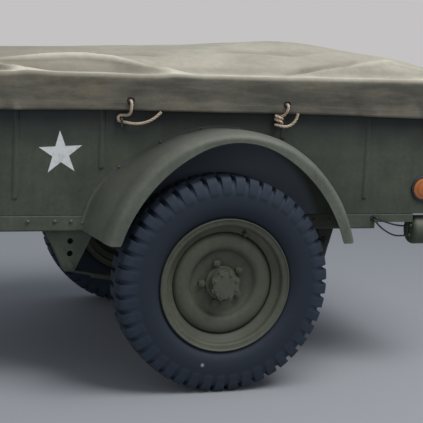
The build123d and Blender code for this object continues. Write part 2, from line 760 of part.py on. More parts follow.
def round_the_tub(piece, height, side_gap_out, shift):
    """Copies of a piece made on a wall at y = 0, at each hook place round the tub."""
    copies = []
    for x in side_hooks:
        copies.append(Pos(x + shift, tub_side + side_gap_out, height) * piece)
        copies.append(Pos(x + shift, -tub_side - side_gap_out, height) * Rot(0, 0, 180) * piece)
    for y in end_hooks:
        copies.append(Pos(tub_length / 2 + side_gap_out, y, height) * Rot(0, 0, -90) * piece)
        copies.append(Pos(-tub_length / 2 - side_gap_out, y, height) * Rot(0, 0, 90) * piece)
    return Compound(copies)


def eyelet():
    """Flat metal ring on the canvas."""
    face = Circle(eyelet_outer_radius) - Circle(eyelet_hole_radius)
    return Rot(-90, 0, 0) * extrude(face, eyelet_height)


def rope_front():
    """From its eyelet down, once round the hook and away to the rear with a loose end."""
    exit_z = hook_height + eyelet_over_hook
    hook_x = side_hooks[1]
    u = 4.3
    w = 10.3
    hook_turn = [(hook_x - u, hook_height + w), (hook_x + u, hook_height + w), (hook_x + w, hook_height + u),
                 (hook_x + w, hook_height - u), (hook_x + u, hook_height - w), (hook_x - u, hook_height - w)]
    route = [
        (298.0, cover_face, exit_z),
        (298.0, cover_face + 6.0, exit_z),
        (298.0, cover_face + 11.2, exit_z - 3.0),
        (298.2, cover_face + 14.2, exit_z - 8.4),
        (298.6, cover_face + 14.2, exit_z - 18.0),
        (298.6, cover_face + 11.5, exit_z - 31.0),
        (299.4, cover_face + 3.5, exit_z - 42.0),
        (304.5, cover_face - 6.5, exit_z - 47.5),
        (312.0, tub_side + 10.5, exit_z - 48.8),
    ]
    route += [(x, tub_side + 9.5, z) for x, z in hook_turn]
    route += [
        (306.0, 499.0, 869.0), (290.0, 503.0, 866.0), (273.0, 508.0, 866.0), (256.0, 512.0, 869.0),
        (238.0, 515.0, 875.0), (222.0, 517.0, 884.0), (208.0, 519.0, 896.0), (197.0, 520.0, 907.5),
    ]
    return tube("rope_front", route, rope_radius)


def rope_rear():
    """From its eyelet down, wound round the hook and away with a short curled end."""
    exit_z = hook_height + eyelet_over_hook
    hook_x, hook_y = side_hooks[2], tub_side + hook_out
    route = [
        (-249.0, cover_face, exit_z),
        (-249.0, cover_face + 6.0, exit_z),
        (-249.0, cover_face + 11.2, exit_z - 3.0),
        (-248.4, cover_face + 14.2, exit_z - 8.4),
        (-246.0, cover_face + 14.0, exit_z - 18.0),
        (-242.5, cover_face + 10.5, exit_z - 28.0),
        (-238.0, cover_face + 5.0, exit_z - 35.5),
    ]
    # Each turn's (angle round the hook's point, height over the hook)
    winding = [(180, 20.0), (240, 21.0), (300, 21.5), (360, 20.5), (420, 17.0), (480, 12.5), (540, 8.5),
               (600, 9.2), (660, 10.0), (720, 8.6), (780, 5.0), (840, 0.5), (900, -5.5), (955, -10.4),
               (1010, -11.6), (1065, -9.6), (1115, -9.4), (1165, -12.2)]
    for angle, rise in winding:
        a = math.radians(angle)
        x, y = hook_x + knot_radius * math.cos(a), hook_y + knot_radius * math.sin(a)
        route.append((x, y, hook_height + rise))
    route += [(-234.0, 521.5, 867.5), (-246.0, 520.5, 867.5), (-258.5, 519.5, 871.0), (-269.5, 519.5, 878.5),
              (-278.0, 519.5, 889.0), (-283.0, 520.0, 901.5), (-285.0, 520.0, 914.0)]
    return tube("rope_rear", route, rope_radius)


def reflector_housing():
    """Shallow cup that holds a round reflector, on a wall at y = 0."""
    outline = [(0, 0), (0, reflector_height / 2), (reflector_lens_radius, reflector_height / 2),
               (reflector_lens_radius, reflector_height), (reflector_radius - 2, reflector_height),
               (reflector_radius, reflector_height - 2), (reflector_radius, 0)]
    return revolve(make_face(Polyline(outline, close=True)), Axis.Y)


def reflector_lens():
    """Domed lens that sits in the housing, on a wall at y = 0."""
    low, edge, top = reflector_height / 2, reflector_height, reflector_height + reflector_dome
    half_x = (reflector_lens_radius - 0.3) / 2
    mid_z = edge + 0.75 * reflector_dome
    line = Line((0, low), (0, top)) + ThreePointArc((0, top), (half_x, mid_z), (2 * half_x, edge))
    line += Line((2 * half_x, edge), (2 * half_x, low)) + Line((2 * half_x, low), (0, low))
    return revolve(make_face(line), Axis.Y)


def reflectors_side(piece):
    """A reflector piece at each end of both sides."""
    z = tub_bottom + reflector_over_floor
    return Compound([both(Pos(x, tub_side, z) * piece) for x in reflector_places])


def reflectors_rear(piece):
    z = tub_bottom + reflector_over_floor
    return both(Pos(-tub_length / 2, tub_side - reflector_rear_inset, z) * Rot(0, 0, 90) * piece)


def tail_lamp():
    """Round lamp body with a domed back towards the front, and two wire glands in it."""
    flat, deep = lamp_radius - lamp_dome, lamp_length - lamp_lens_recess
    line = Line((0, 0), (flat, 0))
    line += ThreePointArc((flat, 0), (flat + 0.7 * lamp_dome, 0.3 * lamp_dome), (lamp_radius, lamp_dome))
    line += Polyline([(lamp_radius, lamp_dome), (lamp_radius, lamp_length), (lamp_lens_radius, lamp_length),
                      (lamp_lens_radius, deep), (0, deep), (0, 0)])
    shape = Pos(lamp_back, lamp_side, lamp_height) * Rot(0, 0, 90) * revolve(make_face(line), Axis.Y)
    for y, z in gland_places():
        shape += rod((lamp_back + gland_length, y, z), (lamp_back - lamp_dome, y, z), gland_radius)
    return shape


def gland_places():
    return [(lamp_side + 19.0, lamp_height + 17.0), (lamp_side + 14.0, lamp_height - 20.0)]


def lamp_lens():
    depth = lamp_length - lamp_lens_recess
    base = (Align.CENTER, Align.CENTER, Align.MIN)
    disc = Cylinder(lamp_lens_radius - 0.3, lamp_lens_recess + 2, align=base)
    return Pos(lamp_back - depth, lamp_side, lamp_height) * Rot(0, -90, 0) * disc


def lamp_bracket():
    """Strap bolted to the back of the rear cross member, with a spacer to the lamp's back."""
    back = rail_rear - lamp_bracket_sheet
    top, low = tub_bottom - rail_sheet, lamp_height - lamp_bracket_width
    half = lamp_bracket_width / 2
    y = lamp_side - half / 2
    shape = side_profile([(rail_rear, top), (back, top), (back, low), (rail_rear, low)], y - half, y + half)
    return shape + rod((back, y, lamp_height), (lamp_back, y, lamp_height), half - 3)


def wire_grommet():
    """Rubber grommet in the rail's face, around the place where both wires leave it."""
    x, drop = wire_hole_place
    z = tub_bottom - drop
    disc = Cylinder(wire_grommet_radius, wire_grommet_height, align=(Align.CENTER, Align.CENTER, Align.MIN))
    return Pos(x, tub_side, z) * Rot(-90, 0, 0) * disc


def lamp_wires():
    """The two leads from the rail to the left tail lamp."""
    x, drop = wire_hole_place
    z = tub_bottom - drop
    y = tub_side + wire_grommet_height
    (upper_y, upper_z), (lower_y, lower_z) = gland_places()
    end_x = lamp_back + gland_length
    upper = [(x - 2, y, z + 4), (x - 2, y + 8, z + 4), (x - 11, y + 13, z + 1), (x - 29, y + 11, z - 7),
             (x - 58, y + 3, z - 17), (x - 90, y - 9, z - 26), (x - 120, y - 19, z - 31.5),
             (end_x + 18, upper_y, upper_z), (end_x, upper_y, upper_z)]
    lower = [(x + 2, y, z - 4), (x + 2, y + 9, z - 4), (x - 6, y + 14, z - 13), (x - 20, y + 13, z - 27),
             (x - 42, y + 9, z - 42), (x - 70, y, z - 57), (x - 102, y - 12, z - 67),
             (end_x + 20, lower_y, lower_z), (end_x, lower_y, lower_z)]
    return Compound([tube("upper_wire", upper, wire_radius), tube("lower_wire", lower, wire_radius)])


def build():
    pieces = {}
    for name, make in (("tyre", tyre), ("wheel", wheel), ("hub", hub), ("backing_plate", backing_plate),
                       ("leaf_spring", spring), ("spring_hanger", front_hanger),
                       ("spring_shackle", rear_shackle), ("side_rail", side_rail),
                       ("drawbar_leg", draw_leg), ("tub_side", tub_side_panel), ("fender", fender),
                       ("tail_lamp", tail_lamp)):
        shape = make()
        pieces[f"{name}_left"] = shape
        pieces[f"{name}_right"] = mirror(shape, about=Plane.XZ)
    for name, make in (("spring_clamps", spring_clamp), ("lamp_lenses", lamp_lens),
                       ("lamp_brackets", lamp_bracket), ("wire_grommets", wire_grommet)):
        pieces[name] = both(make())
    for name, make in (("axle", axle), ("drawbar_tie", drawbar_tie), ("nose_block", nose_block),
                       ("lunette", lunette), ("leg_bracket", leg_bracket), ("landing_leg", landing_leg),
                       ("leg_foot", leg_foot), ("tub_floor", tub_floor), ("tub_front", tub_end),
                       ("cover", cover), ("rope_front", rope_front), ("rope_rear", rope_rear),
                       ("lamp_wires", lamp_wires)):
        pieces[name] = make()
    pieces["tub_rear"] = mirror(pieces["tub_front"], about=Plane.YZ)
    for name, x in cross_places.items():
        pieces[f"cross_member_{name}"] = cross_member(x)
    pieces["tie_hooks"] = round_the_tub(tie_hook(), hook_height, 0, 0)
    pieces["eyelets"] = round_the_tub(eyelet(), hook_height + eyelet_over_hook, cover_out, eyelet_shift)
    cup = reflector_housing()
    lens = reflector_lens()
    pieces["reflector_housings"] = Compound([reflectors_side(cup), reflectors_rear(cup)])
    pieces["reflectors_side"] = reflectors_side(lens)
    pieces["reflectors_rear"] = reflectors_rear(lens)
    return pieces


middle_x = (lunette_tip - tub_length / 2 - cover_out) / 2

os.makedirs("parts", exist_ok=True)
for node, shape in build().items():
    export_step(Pos(-middle_x, 0, 0) * shape, f"parts/{node}.step")
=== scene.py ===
"""Two-wheel army cargo trailer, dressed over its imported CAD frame.

Metres, +X forward to the towing ring, +Y left, +Z up. The wheels' axle crosses x = -0.45175.
"""

import functools
import math

import bpy
from mathutils import Euler, Matrix, Quaternion, Vector, noise


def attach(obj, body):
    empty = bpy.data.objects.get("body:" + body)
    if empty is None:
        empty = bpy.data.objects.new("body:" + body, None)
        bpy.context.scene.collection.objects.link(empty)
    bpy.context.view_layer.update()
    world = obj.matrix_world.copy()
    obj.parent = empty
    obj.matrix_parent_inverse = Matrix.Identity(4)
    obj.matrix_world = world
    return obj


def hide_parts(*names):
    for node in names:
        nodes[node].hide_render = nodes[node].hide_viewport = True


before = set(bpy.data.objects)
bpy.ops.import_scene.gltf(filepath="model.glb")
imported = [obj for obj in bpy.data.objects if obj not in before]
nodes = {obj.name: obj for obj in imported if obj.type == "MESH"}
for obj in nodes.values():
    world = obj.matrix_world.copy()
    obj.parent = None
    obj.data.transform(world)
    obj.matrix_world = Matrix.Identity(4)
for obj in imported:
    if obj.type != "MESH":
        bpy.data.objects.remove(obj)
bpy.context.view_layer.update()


# Steel frame: rails, cross members, drawbar, leaf springs, prop leg
# Pressed and welded steel channels, brush painted olive drab. The matt enamel has chalked with age,
# holds pale dust on every face that looks up and is darker on the parts underneath.

def linear(hex_colour):
    """An sRGB hex value as Blender's linear RGBA."""
    channels = [int(hex_colour[i:i + 2], 16) / 255 for i in (1, 3, 5)]
    return [c / 12.92 if c <= 0.04045 else ((c + 0.055) / 1.055) ** 2.4 for c in channels] + [1.0]


def add_node(tree, kind, sockets=None, **settings):
    """Add a shader node, set its properties, and set or link its inputs.

    An input that is given a whole node is linked to that node's first live output, and one that is
    given an sRGB hex value gets it as linear RGBA.
    """
    made = tree.nodes.new("ShaderNode" + kind)
    for name, value in settings.items():
        setattr(made, name, value)
    for name, value in (sockets or {}).items():
        if isinstance(value, bpy.types.Node):
            value = next(output for output in value.outputs if output.enabled)
        if isinstance(value, str):
            value = linear(value)
        if isinstance(value, bpy.types.NodeSocket):
            tree.links.new(value, made.inputs[name])
        else:
            made.inputs[name].default_value = value
    return made


def new_material(name):
    """An empty node material, the function that adds its nodes, and its Object coordinates."""
    material = bpy.data.materials.new(name)
    material.use_nodes = True
    material.node_tree.nodes.clear()
    add = functools.partial(add_node, material.node_tree)
    return material, add, add("TexCoord").outputs["Object"]


def enamel(name, paint, faded, dust_and_shade, dust_and_shade_share, rough, painted_shade_band=None, mud_and_fill_light_well=None):
    """Matt alkyd enamel on steel: fades in broad patches, and faces that look up mix towards a second
    colour, pale dust where it is lighter than the paint and painted shade where it is darker.

    A painted shade band is two heights and two distances from the middle, between which the paint is
    painted darker and bluer, as shade under a cover. A well is a centre x and z and a radius, inside which
    dried mud covers it, painted paler and bluer than mud as fill light in the shade.
    """
    material, add, place = new_material(name)
    # Patches about 150 mm across, where sun and rubbing have chalked the paint
    patches = add("TexNoise", {"Vector": place, "Scale": 7.0, "Detail": 6.0, "Roughness": 0.62})
    # Brush and dirt mottling of about 12 mm
    mottle = add("TexNoise", {"Vector": place, "Scale": 85.0, "Detail": 5.0, "Roughness": 0.65})
    # Runs of rain dirt: stretched nine times along Z
    stretch = add("Mapping", {"Vector": place, "Scale": (60.0, 60.0, 7.0)})
    runs = add("TexNoise", {"Vector": stretch, "Scale": 1.0, "Detail": 4.0})
    fade = add("MapRange", {"Value": patches, "From Min": 0.38, "From Max": 0.66})
    body = add("Mix", {"Factor": fade, 6: paint, 7: faded}, data_type="RGBA")
    speck = add("MapRange", {"Value": mottle, "From Min": 0.3, "From Max": 0.7,
                             "To Min": 0.86, "To Max": 1.12})
    streak = add("MapRange", {"Value": runs, "From Min": 0.3, "From Max": 0.7,
                              "To Min": 0.93, "To Max": 1.05})
    tone = add("Math", {0: speck, 1: streak}, operation="MULTIPLY")
    toned = add("VectorMath", {0: body, "Scale": tone}, operation="SCALE")
    up = add("SeparateXYZ", {"Vector": add("NewGeometry").outputs["Normal"]})
    lying = add("MapRange", {"Value": up.outputs["Z"], "From Min": 0.15, "From Max": 0.95,
                             "To Max": dust_and_shade_share})
    # Faces that look up mix towards the second colour: pale dust on the frame and tub, painted shade on the
    # fender and wheels
    dust_and_shade_on_top = add("Math", {0: lying, 1: speck}, operation="MULTIPLY")
    skin = add("Mix", {"Factor": dust_and_shade_on_top, 6: toned, 7: dust_and_shade}, data_type="RGBA")
    where = add("SeparateXYZ", {"Vector": place})
    if painted_shade_band:
        low, high, near, far = painted_shade_band
        rising = add("MapRange", {"Value": where.outputs["Z"], "From Min": low, "From Max": high})
        out = add("Math", {0: where.outputs["Y"]}, operation="ABSOLUTE")
        inward = add("MapRange", {"Value": out, "From Min": far, "From Max": near, "To Max": 0.62})
        painted_cover_shade = add("Math", {0: rising, 1: inward}, operation="MULTIPLY")
        # Painted shade: darker and bluer below the cover
        skin = add("Mix", {"Factor": painted_cover_shade, 6: skin, 7: "#171A20"}, data_type="RGBA")
    if mud_and_fill_light_well:
        centre_x, centre_z, reach = mud_and_fill_light_well
        flat_place = add("CombineXYZ", {"X": where.outputs["X"], "Z": where.outputs["Z"]})
        away = add("VectorMath", {0: flat_place, 1: (centre_x, 0, centre_z)}, operation="DISTANCE")
        mud_and_fill_light = add("MapRange", {"Value": away, "From Min": reach, "From Max": reach - 0.03, "To Max": 0.9})
        # Dried mud, painted paler and bluer than mud as fill light in the shade
        skin = add("Mix", {"Factor": mud_and_fill_light, 6: skin, 7: "#666D77"}, data_type="RGBA")
    # Brush marks and grit of about 1.5 mm
    grit = add("TexNoise", {"Vector": place, "Scale": 650.0, "Detail": 3.0})
    relief = add("Bump", {"Height": grit, "Strength": 0.35, "Distance": 0.0004})
    gloss = add("MapRange", {"Value": mottle, "From Min": 0.3, "From Max": 0.7,
                             "To Min": rough - 0.08, "To Max": rough + 0.1})
    shader = add("BsdfPrincipled", {"Base Color": skin, "IOR": 1.5, "Specular IOR Level": 0.35,
                                    "Roughness": gloss, "Normal": relief})
    add("OutputMaterial", {"Surface": shader})
    return material


def paint_nodes(material, *starts):
    """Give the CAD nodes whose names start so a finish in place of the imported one."""
    for name, node in nodes.items():
        if name.startswith(starts):
            for slot in node.material_slots:
                slot.material = material


frame_enamel = enamel("olive_enamel_on_frame_steel", "#454A3F", "#54594C", "#77756A", 0.45, 0.62)
under_enamel = enamel("darker_enamel_under_the_trailer", "#2F332D", "#3B3E36", "#5D5B52", 0.30, 0.7)
paint_nodes(frame_enamel, "side_rail", "drawbar", "nose_block", "lunette", "leg_", "landing_leg",
            "spring_hanger", "lamp_brackets", "tail_lamp")
paint_nodes(under_enamel, "axle", "spring_clamps", "leaf_spring", "spring_shackle", "cross_member",
            "backing_plate")


def set_down(source, name, places):
    """Copies of a finished piece, each with its own mesh moved by a matrix, joined under one name."""
    bpy.ops.object.select_all(action="DESELECT")
    copies = []
    for matrix in places:
        one = source.copy()
        one.data = source.data.copy()
        one.data.transform(matrix)
        bpy.context.collection.objects.link(one)
        one.select_set(True)
        copies.append(one)
    bpy.context.view_layer.objects.active = copies[0]
    if len(copies) > 1:
        bpy.ops.object.join()
    copies[0].name = name
    return copies[0]


def smooth(degrees):
    """Shade the active piece smooth, apart from edges that turn by more than an angle."""
    bpy.ops.object.shade_smooth_by_angle(angle=math.radians(degrees))


# A rivet's round head, 13 mm across and 4 mm high, is the cap of a flattened ball
bpy.ops.object.select_all(action="DESELECT")
bpy.ops.mesh.primitive_uv_sphere_add(segments=16, ring_count=10, radius=0.0065)
round_head = bpy.context.object
bpy.ops.object.mode_set(mode="EDIT")
bpy.ops.mesh.select_all(action="SELECT")
bpy.ops.mesh.bisect(plane_co=(0, 0, 0), plane_no=(0, 0, 1), clear_inner=True, use_fill=True)
bpy.ops.mesh.select_all(action="SELECT")
bpy.ops.transform.resize(value=(1, 1, 0.68))
bpy.ops.object.mode_set(mode="OBJECT")
smooth(40)
round_head.data.materials.append(frame_enamel)
axle_x, tub_face = -0.45175, 0.4865
sides = (("left", 1), ("right", -1))
rail_rivets, rivet_height = [0.619, 0.531, 0.478, -0.385, -0.44, -0.495], 0.540
for side, sign in sides:
    turn = Matrix.Rotation(math.radians(-90 * sign), 4, "X")
    spots = [Matrix.Translation((axle_x + x, sign * tub_face, rivet_height)) @ turn for x in rail_rivets]
    one = set_down(round_head, f"rail_rivets_{side}", spots)
    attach(one, "chassis")


# Tub: floor, sides and ends
# Steel sheet with pressed upright swages and a rolled top edge, sprayed olive drab. Each side has
# a plain white star, brushed through a stencil, so its edge is sharp and its paint is thin.

# Painted shade: a band of the sides under the cover's hem is painted darker and bluer. The wheel well is
# dried mud, painted paler and bluer than mud as fill light in its shade.
tub_enamel = enamel("olive_enamel_on_tub_sheet", "#3F443A", "#494E42", "#77756A", 0.5, 0.6,
                    painted_shade_band=(0.775, 0.872, 0.50, 0.60), mud_and_fill_light_well=(-0.46975, 0.450, 0.402))
paint_nodes(tub_enamel, "tub_", "tie_hooks")


def apply_modifier(piece, name, kind, **settings):
    """Add a modifier to the active piece with its settings, and apply it."""
    made = piece.modifiers.new(name, kind)
    for key, value in settings.items():
        setattr(made, key, value)
    bpy.ops.object.modifier_apply(modifier=name)


def turn_faces_out(merge=0.0):
    """Merge the active piece's points that lie closer than merge, and turn its faces outwards."""
    bpy.ops.object.mode_set(mode="EDIT")
    bpy.ops.mesh.select_all(action="SELECT")
    if merge:
        bpy.ops.mesh.remove_doubles(threshold=merge)
    bpy.ops.mesh.normals_make_consistent(inside=False)
    bpy.ops.object.mode_set(mode="OBJECT")


# White oil paint worked through a stencil with a dry brush: dull, and worn thin in specks
star_white, add, place = new_material("thin_white_stencil_paint")
wear = add("TexNoise", {"Vector": place, "Scale": 55.0, "Detail": 7.0, "Roughness": 0.7})
thin = add("MapRange", {"Value": wear, "From Min": 0.5, "From Max": 0.8})
blend = add("Mix", {"Factor": thin, 6: "#D2D5D3", 7: "#A4A8A6"}, data_type="RGBA")
brushed = add("Bump", {"Height": wear, "Strength": 0.2, "Distance": 0.0004})
shader = add("BsdfPrincipled", {"Base Color": blend, "Roughness": 0.7, "Normal": brushed})
add("OutputMaterial", {"Surface": shader})

star_x, star_z, before_the_sheet = axle_x + 0.519, 0.764, 0.5
star_out, star_in, star_tilt = 0.0745, 0.0285, -3.3
# Thicker than real paint and clear of the sheet, so that the two faces don't flicker
film_thick, film_lift = 0.0004, 0.0006
for side, sign in sides:
    bpy.ops.object.select_all(action="DESELECT")
    bpy.ops.mesh.primitive_circle_add(vertices=10, radius=star_out, fill_type="NGON")
    star = bpy.context.object
    star.name = f"painted_star_{side}"
    for i, vertex in enumerate(star.data.vertices):
        a = math.radians(90 + 36 * i + sign * star_tilt)
        r = star_in if i % 2 else star_out
        vertex.co = (star_x + r * math.cos(a), sign * before_the_sheet, star_z + r * math.sin(a))
    bpy.ops.object.mode_set(mode="EDIT")
    bpy.ops.mesh.select_all(action="SELECT")
    bpy.ops.mesh.quads_convert_to_tris()
    bpy.ops.mesh.subdivide(number_cuts=14)
    bpy.ops.object.mode_set(mode="OBJECT")
    apply_modifier(star, "laid_on_the_sheet", "SHRINKWRAP", target=nodes[f"tub_side_{side}"],
                   wrap_method="PROJECT", use_project_y=True, use_negative_direction=True,
                   use_positive_direction=True)
    for vertex in star.data.vertices:
        vertex.co.y += sign * film_lift
    apply_modifier(star, "paint_film", "SOLIDIFY", thickness=film_thick, offset=0)
    turn_faces_out()
    star.data.materials.append(star_white)
    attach(star, "chassis")


# Fenders
# Round mudguards pressed from 3 mm steel sheet. The sheet sweeps wider towards the tub, where a narrow
# flange is bolted on with round-headed bolts. The tops carry painted shade, darker towards the tub; the
# insides are coated with dried mud, painted paler and bluer as fill light in the shade.

# Painted shade: faces that look up mix to a dull colour no paler than the paint, and the top is painted
# darker and bluer towards the tub
fender_enamel = enamel("olive_enamel_on_fender_sheet", "#54584D", "#5F6358", "#57574F", 0.5, 0.58,
                       painted_shade_band=(0.55, 0.80, 0.52, 0.705))
# Road mud dried to a crust: dead matt, and paler where it has caked. Its blue-grey is painted paler than
# mud, as fill light in the shade under the fender.
mud_with_painted_fill, add, place = new_material("dried_mud_with_painted_fill_light_under_the_fender")
splash = add("TexNoise", {"Vector": place, "Scale": 26.0, "Detail": 7.0, "Roughness": 0.68})
caked = add("MapRange", {"Value": splash, "From Min": 0.35, "From Max": 0.68})
blend = add("Mix", {"Factor": caked, 6: "#3C4148", 7: "#5E646C"}, data_type="RGBA")
crust = add("Bump", {"Height": splash, "Strength": 0.5, "Distance": 0.002})
shader = add("BsdfPrincipled", {"Base Color": blend, "Roughness": 0.95, "Normal": crust})
add("OutputMaterial", {"Surface": shader})

fender_middle_x = axle_x - 0.018
fender_wide, lip_drop, lip_bend = 0.2245, 0.032, 0.024
top_centre_z, top_radius, knee_angle = 0.545, 0.319, 27.6
side_centre_x, side_centre_z, side_radius, end_angle = 0.1005, 0.3527, 0.536, 74.05
end_height = 0.4995
# How far the sheet reaches out beyond the lip's curve at the tub, by the angle from the top
flare = [(0, 0.001), (20, 0.002), (28, 0.009), (36, 0.018), (41, 0.026), (45, 0.033), (49, 0.043),
         (53, 0.052), (57, 0.059), (61, 0.063), (65, 0.063), (69, 0.060), (75, 0.057)]
# How far its crown rises over the lip's curve, by the same angle
crown = [(0, 0.003), (15, 0.005), (24, 0.009), (33, 0.016), (42, 0.0195), (60, 0.021), (75, 0.017)]
flange_wide, crown_from_tub = 0.010, 0.165
# A flange bolt's head against a rail rivet's
bolt_size = 0.7


def fender_point(angle, out):
    """A point of the fender's curve in the side view, moved square to the curve by out."""
    t = math.radians(abs(angle))
    if abs(angle) <= knee_angle:
        x, z = (top_radius + out) * math.sin(t), top_centre_z + (top_radius + out) * math.cos(t)
    else:
        x = (side_radius + out) * math.sin(t) - side_centre_x
        z = side_centre_z + (side_radius + out) * math.cos(t)
    return fender_middle_x + math.copysign(x, angle), z


def between(table, at):
    """A measured table's value at a place, straight between its points and level before the first."""
    for (a, value_a), (b, value_b) in zip(table, table[1:]):
        if at <= b:
            return value_a + (value_b - value_a) * max(0.0, at - a) / (b - a)
    return table[-1][1]


knee_steps, arc_steps = 14, 24
fender_angles = [-end_angle + (end_angle - knee_angle) * i / arc_steps for i in range(arc_steps)]
fender_angles += [-knee_angle + knee_angle * i / knee_steps for i in range(2 * knee_steps)]
fender_angles += [knee_angle + (end_angle - knee_angle) * i / arc_steps for i in range(arc_steps + 1)]
# Across the sheet, from the flange's edge over the crown to the lip's lower edge: distance from the
# tub, shares of the flare and of the crown's rise there, and drop of the bend and the lip
flange_face, flange_bend, sweep_steps = 0.0030, 0.0034, 12
across = [(flange_face, 1.0, 0.0, 0.0), (flange_face, 1.0, 0.0, 0.0)]
for i in range(1, sweep_steps + 1):
    left = 1 - i / sweep_steps
    from_tub = flange_bend + (crown_from_tub - flange_bend) * i / sweep_steps
    across.append((from_tub, left ** 1.15, 1 - left ** 2, 0.0))
for a in (12, 24, 36, 48, 60, 75, 90):
    from_tub = crown_from_tub + (fender_wide - crown_from_tub) * math.sin(math.radians(a))
    across.append((from_tub, 0.0, 1.0, 1 - math.cos(math.radians(a))))
across += [(fender_wide, 0.0, 1.0, 1 + i / 4) for i in range(1, 5)]
for side, sign in sides:
    bpy.ops.object.select_all(action="DESELECT")
    bpy.ops.mesh.primitive_grid_add(x_subdivisions=len(fender_angles) - 1, y_subdivisions=len(across) - 1)
    fender = bpy.context.object
    fender.name = f"fender_sheet_{side}"
    per_row = len(fender_angles)
    for k, vertex in enumerate(fender.data.vertices):
        angle = fender_angles[k % per_row]
        from_tub, flare_share, crown_share, drop = across[k // per_row]
        reach, rise = between(flare, abs(angle)), between(crown, abs(angle))
        out = (reach - flange_wide) * flare_share + rise * crown_share - lip_bend * min(1.0, drop)
        out -= (lip_drop + rise - lip_bend) * max(0.0, drop - 1)
        if k < per_row:
            # The first row is the flange's free edge
            out = reach
        x, z = fender_point(angle, out)
        vertex.co = (x, sign * (tub_face + from_tub), max(z, end_height))
    fender.data.materials.append(fender_enamel)
    fender.data.materials.append(mud_with_painted_fill)
    bpy.ops.object.mode_set(mode="EDIT")
    bpy.ops.mesh.select_all(action="SELECT")
    if sign < 0:
        bpy.ops.mesh.flip_normals()
    bpy.ops.object.mode_set(mode="OBJECT")
    apply_modifier(fender, "sheet_3_mm", "SOLIDIFY", thickness=0.003, offset=-1, material_offset=1)
    smooth(40)
    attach(fender, "chassis")
    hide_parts(f"fender_{side}")

    turn = Matrix.Rotation(math.radians(-90 * sign), 4, "X")
    spots = []
    for angle in (-72, -50.2, -34, -12, 12, 34, 50.2, 72):
        x, z = fender_point(angle, between(flare, abs(angle)) - flange_wide / 2)
        on_flange = Matrix.Translation((x, sign * (tub_face + flange_face), z))
        spots.append(on_flange @ turn @ Matrix.Scale(bolt_size, 4))
    one = set_down(round_head, f"fender_bolts_{side}", spots)
    one.material_slots[0].material = fender_enamel
    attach(one, "chassis")
bpy.data.objects.remove(round_head)


# Wheels and hubs
# Pressed steel discs welded into drop-centre rims, one coat of olive enamel over all, with painted shade
# on the faces that look up. Each is held by five nuts round a hub whose scalloped cap is bolted on.

# Painted shade: faces that look up mix to a colour darker than the paint
wheel_enamel = enamel("olive_enamel_on_wheel_discs", "#4B4D40", "#55574A", "#45483C", 0.55, 0.62)
paint_nodes(wheel_enamel, "hub_")
lip = [(0.2225, 0.0605), (0.2226, 0.0640), (0.2220, 0.0664), (0.2206, 0.0678), (0.2190, 0.0680),
       (0.2176, 0.0672), (0.2168, 0.0655), (0.2150, 0.0640), (0.2060, 0.0634), (0.2015, 0.0622),
       (0.1990, 0.0595), (0.1980, 0.0560), (0.1974, 0.0450), (0.1960, 0.0412), (0.1925, 0.0385),
       (0.1760, 0.0318), (0.1732, 0.0298), (0.1720, 0.0265)]
seat = [(0.2044, 0.0600), (0.2030, 0.0420), (0.1770, 0.0330), (0.1755, 0.0300)]
rim_loop = lip + [(r, -w) for r, w in reversed(lip)] + [(r, -w) for r, w in seat] + seat[::-1]
disc_front = [
    (0.1716, 0.0105), (0.1706, 0.0180), (0.1684, 0.0250), (0.1640, 0.0320), (0.1580, 0.0366),
    (0.1500, 0.0392), (0.1410, 0.0402), (0.1320, 0.0399), (0.1250, 0.0388), (0.1190, 0.0362),
    (0.1140, 0.0318), (0.1105, 0.0262), (0.1080, 0.0212), (0.1050, 0.0178), (0.1005, 0.0160),
    (0.0950, 0.0155), (0.0550, 0.0155), (0.0540, 0.0145),
]
disc_back = [
    (0.0540, 0.0100), (0.0950, 0.0100), (0.1040, 0.0125), (0.1100, 0.0190), (0.1180, 0.0280),
    (0.1320, 0.0340), (0.1410, 0.0345), (0.1500, 0.0335), (0.1600, 0.0280), (0.1660, 0.0170),
    (0.1716, 0.0050),
]


def turned_ring(loop, steps, axis=(0, 1, 0)):
    """A closed ring spun about an axis from a loop of points: radius, and place along the axis."""
    bpy.ops.object.select_all(action="DESELECT")
    bpy.ops.mesh.primitive_circle_add(vertices=len(loop), fill_type="NOTHING")
    ring = bpy.context.object
    for vertex, (r, along) in zip(ring.data.vertices, loop):
        vertex.co = (r, along * axis[1], along * axis[2])
    bpy.ops.object.mode_set(mode="EDIT")
    bpy.ops.mesh.select_all(action="SELECT")
    bpy.ops.mesh.spin(steps=steps, angle=math.tau, center=(0, 0, 0), axis=axis)
    turn_faces_out(merge=0.00002)
    return ring


wheel_parts = []
for loop in (rim_loop, disc_front + disc_back):
    wheel_parts.append(turned_ring(loop, 144))
    smooth(50)
bpy.ops.object.select_all(action="DESELECT")
for part in wheel_parts:
    part.select_set(True)
bpy.context.view_layer.objects.active = wheel_parts[0]
bpy.ops.object.join()
rim = bpy.context.object
rim.data.materials.append(wheel_enamel)

# The hub's flange: a turned steel ring round the hub that clamps the disc
flange_loop = [(0.0450, 0.0), (0.0562, 0.0), (0.0562, 0.0077), (0.0561, 0.0084), (0.0557, 0.0090),
               (0.0551, 0.0094), (0.0544, 0.0095), (0.0450, 0.0095)]
hub_flange = turned_ring(flange_loop, 96)
smooth(50)
hub_flange.data.materials.append(wheel_enamel)


def pick_faces(piece, wanted):
    """Go into edit mode with only those of a piece's faces selected that a test wants."""
    bpy.ops.object.mode_set(mode="EDIT")
    bpy.ops.mesh.select_mode(type="FACE")
    bpy.ops.mesh.select_all(action="DESELECT")
    bpy.ops.object.mode_set(mode="OBJECT")
    for face in piece.data.polygons:
        face.select = wanted(face)
    bpy.ops.object.mode_set(mode="EDIT")


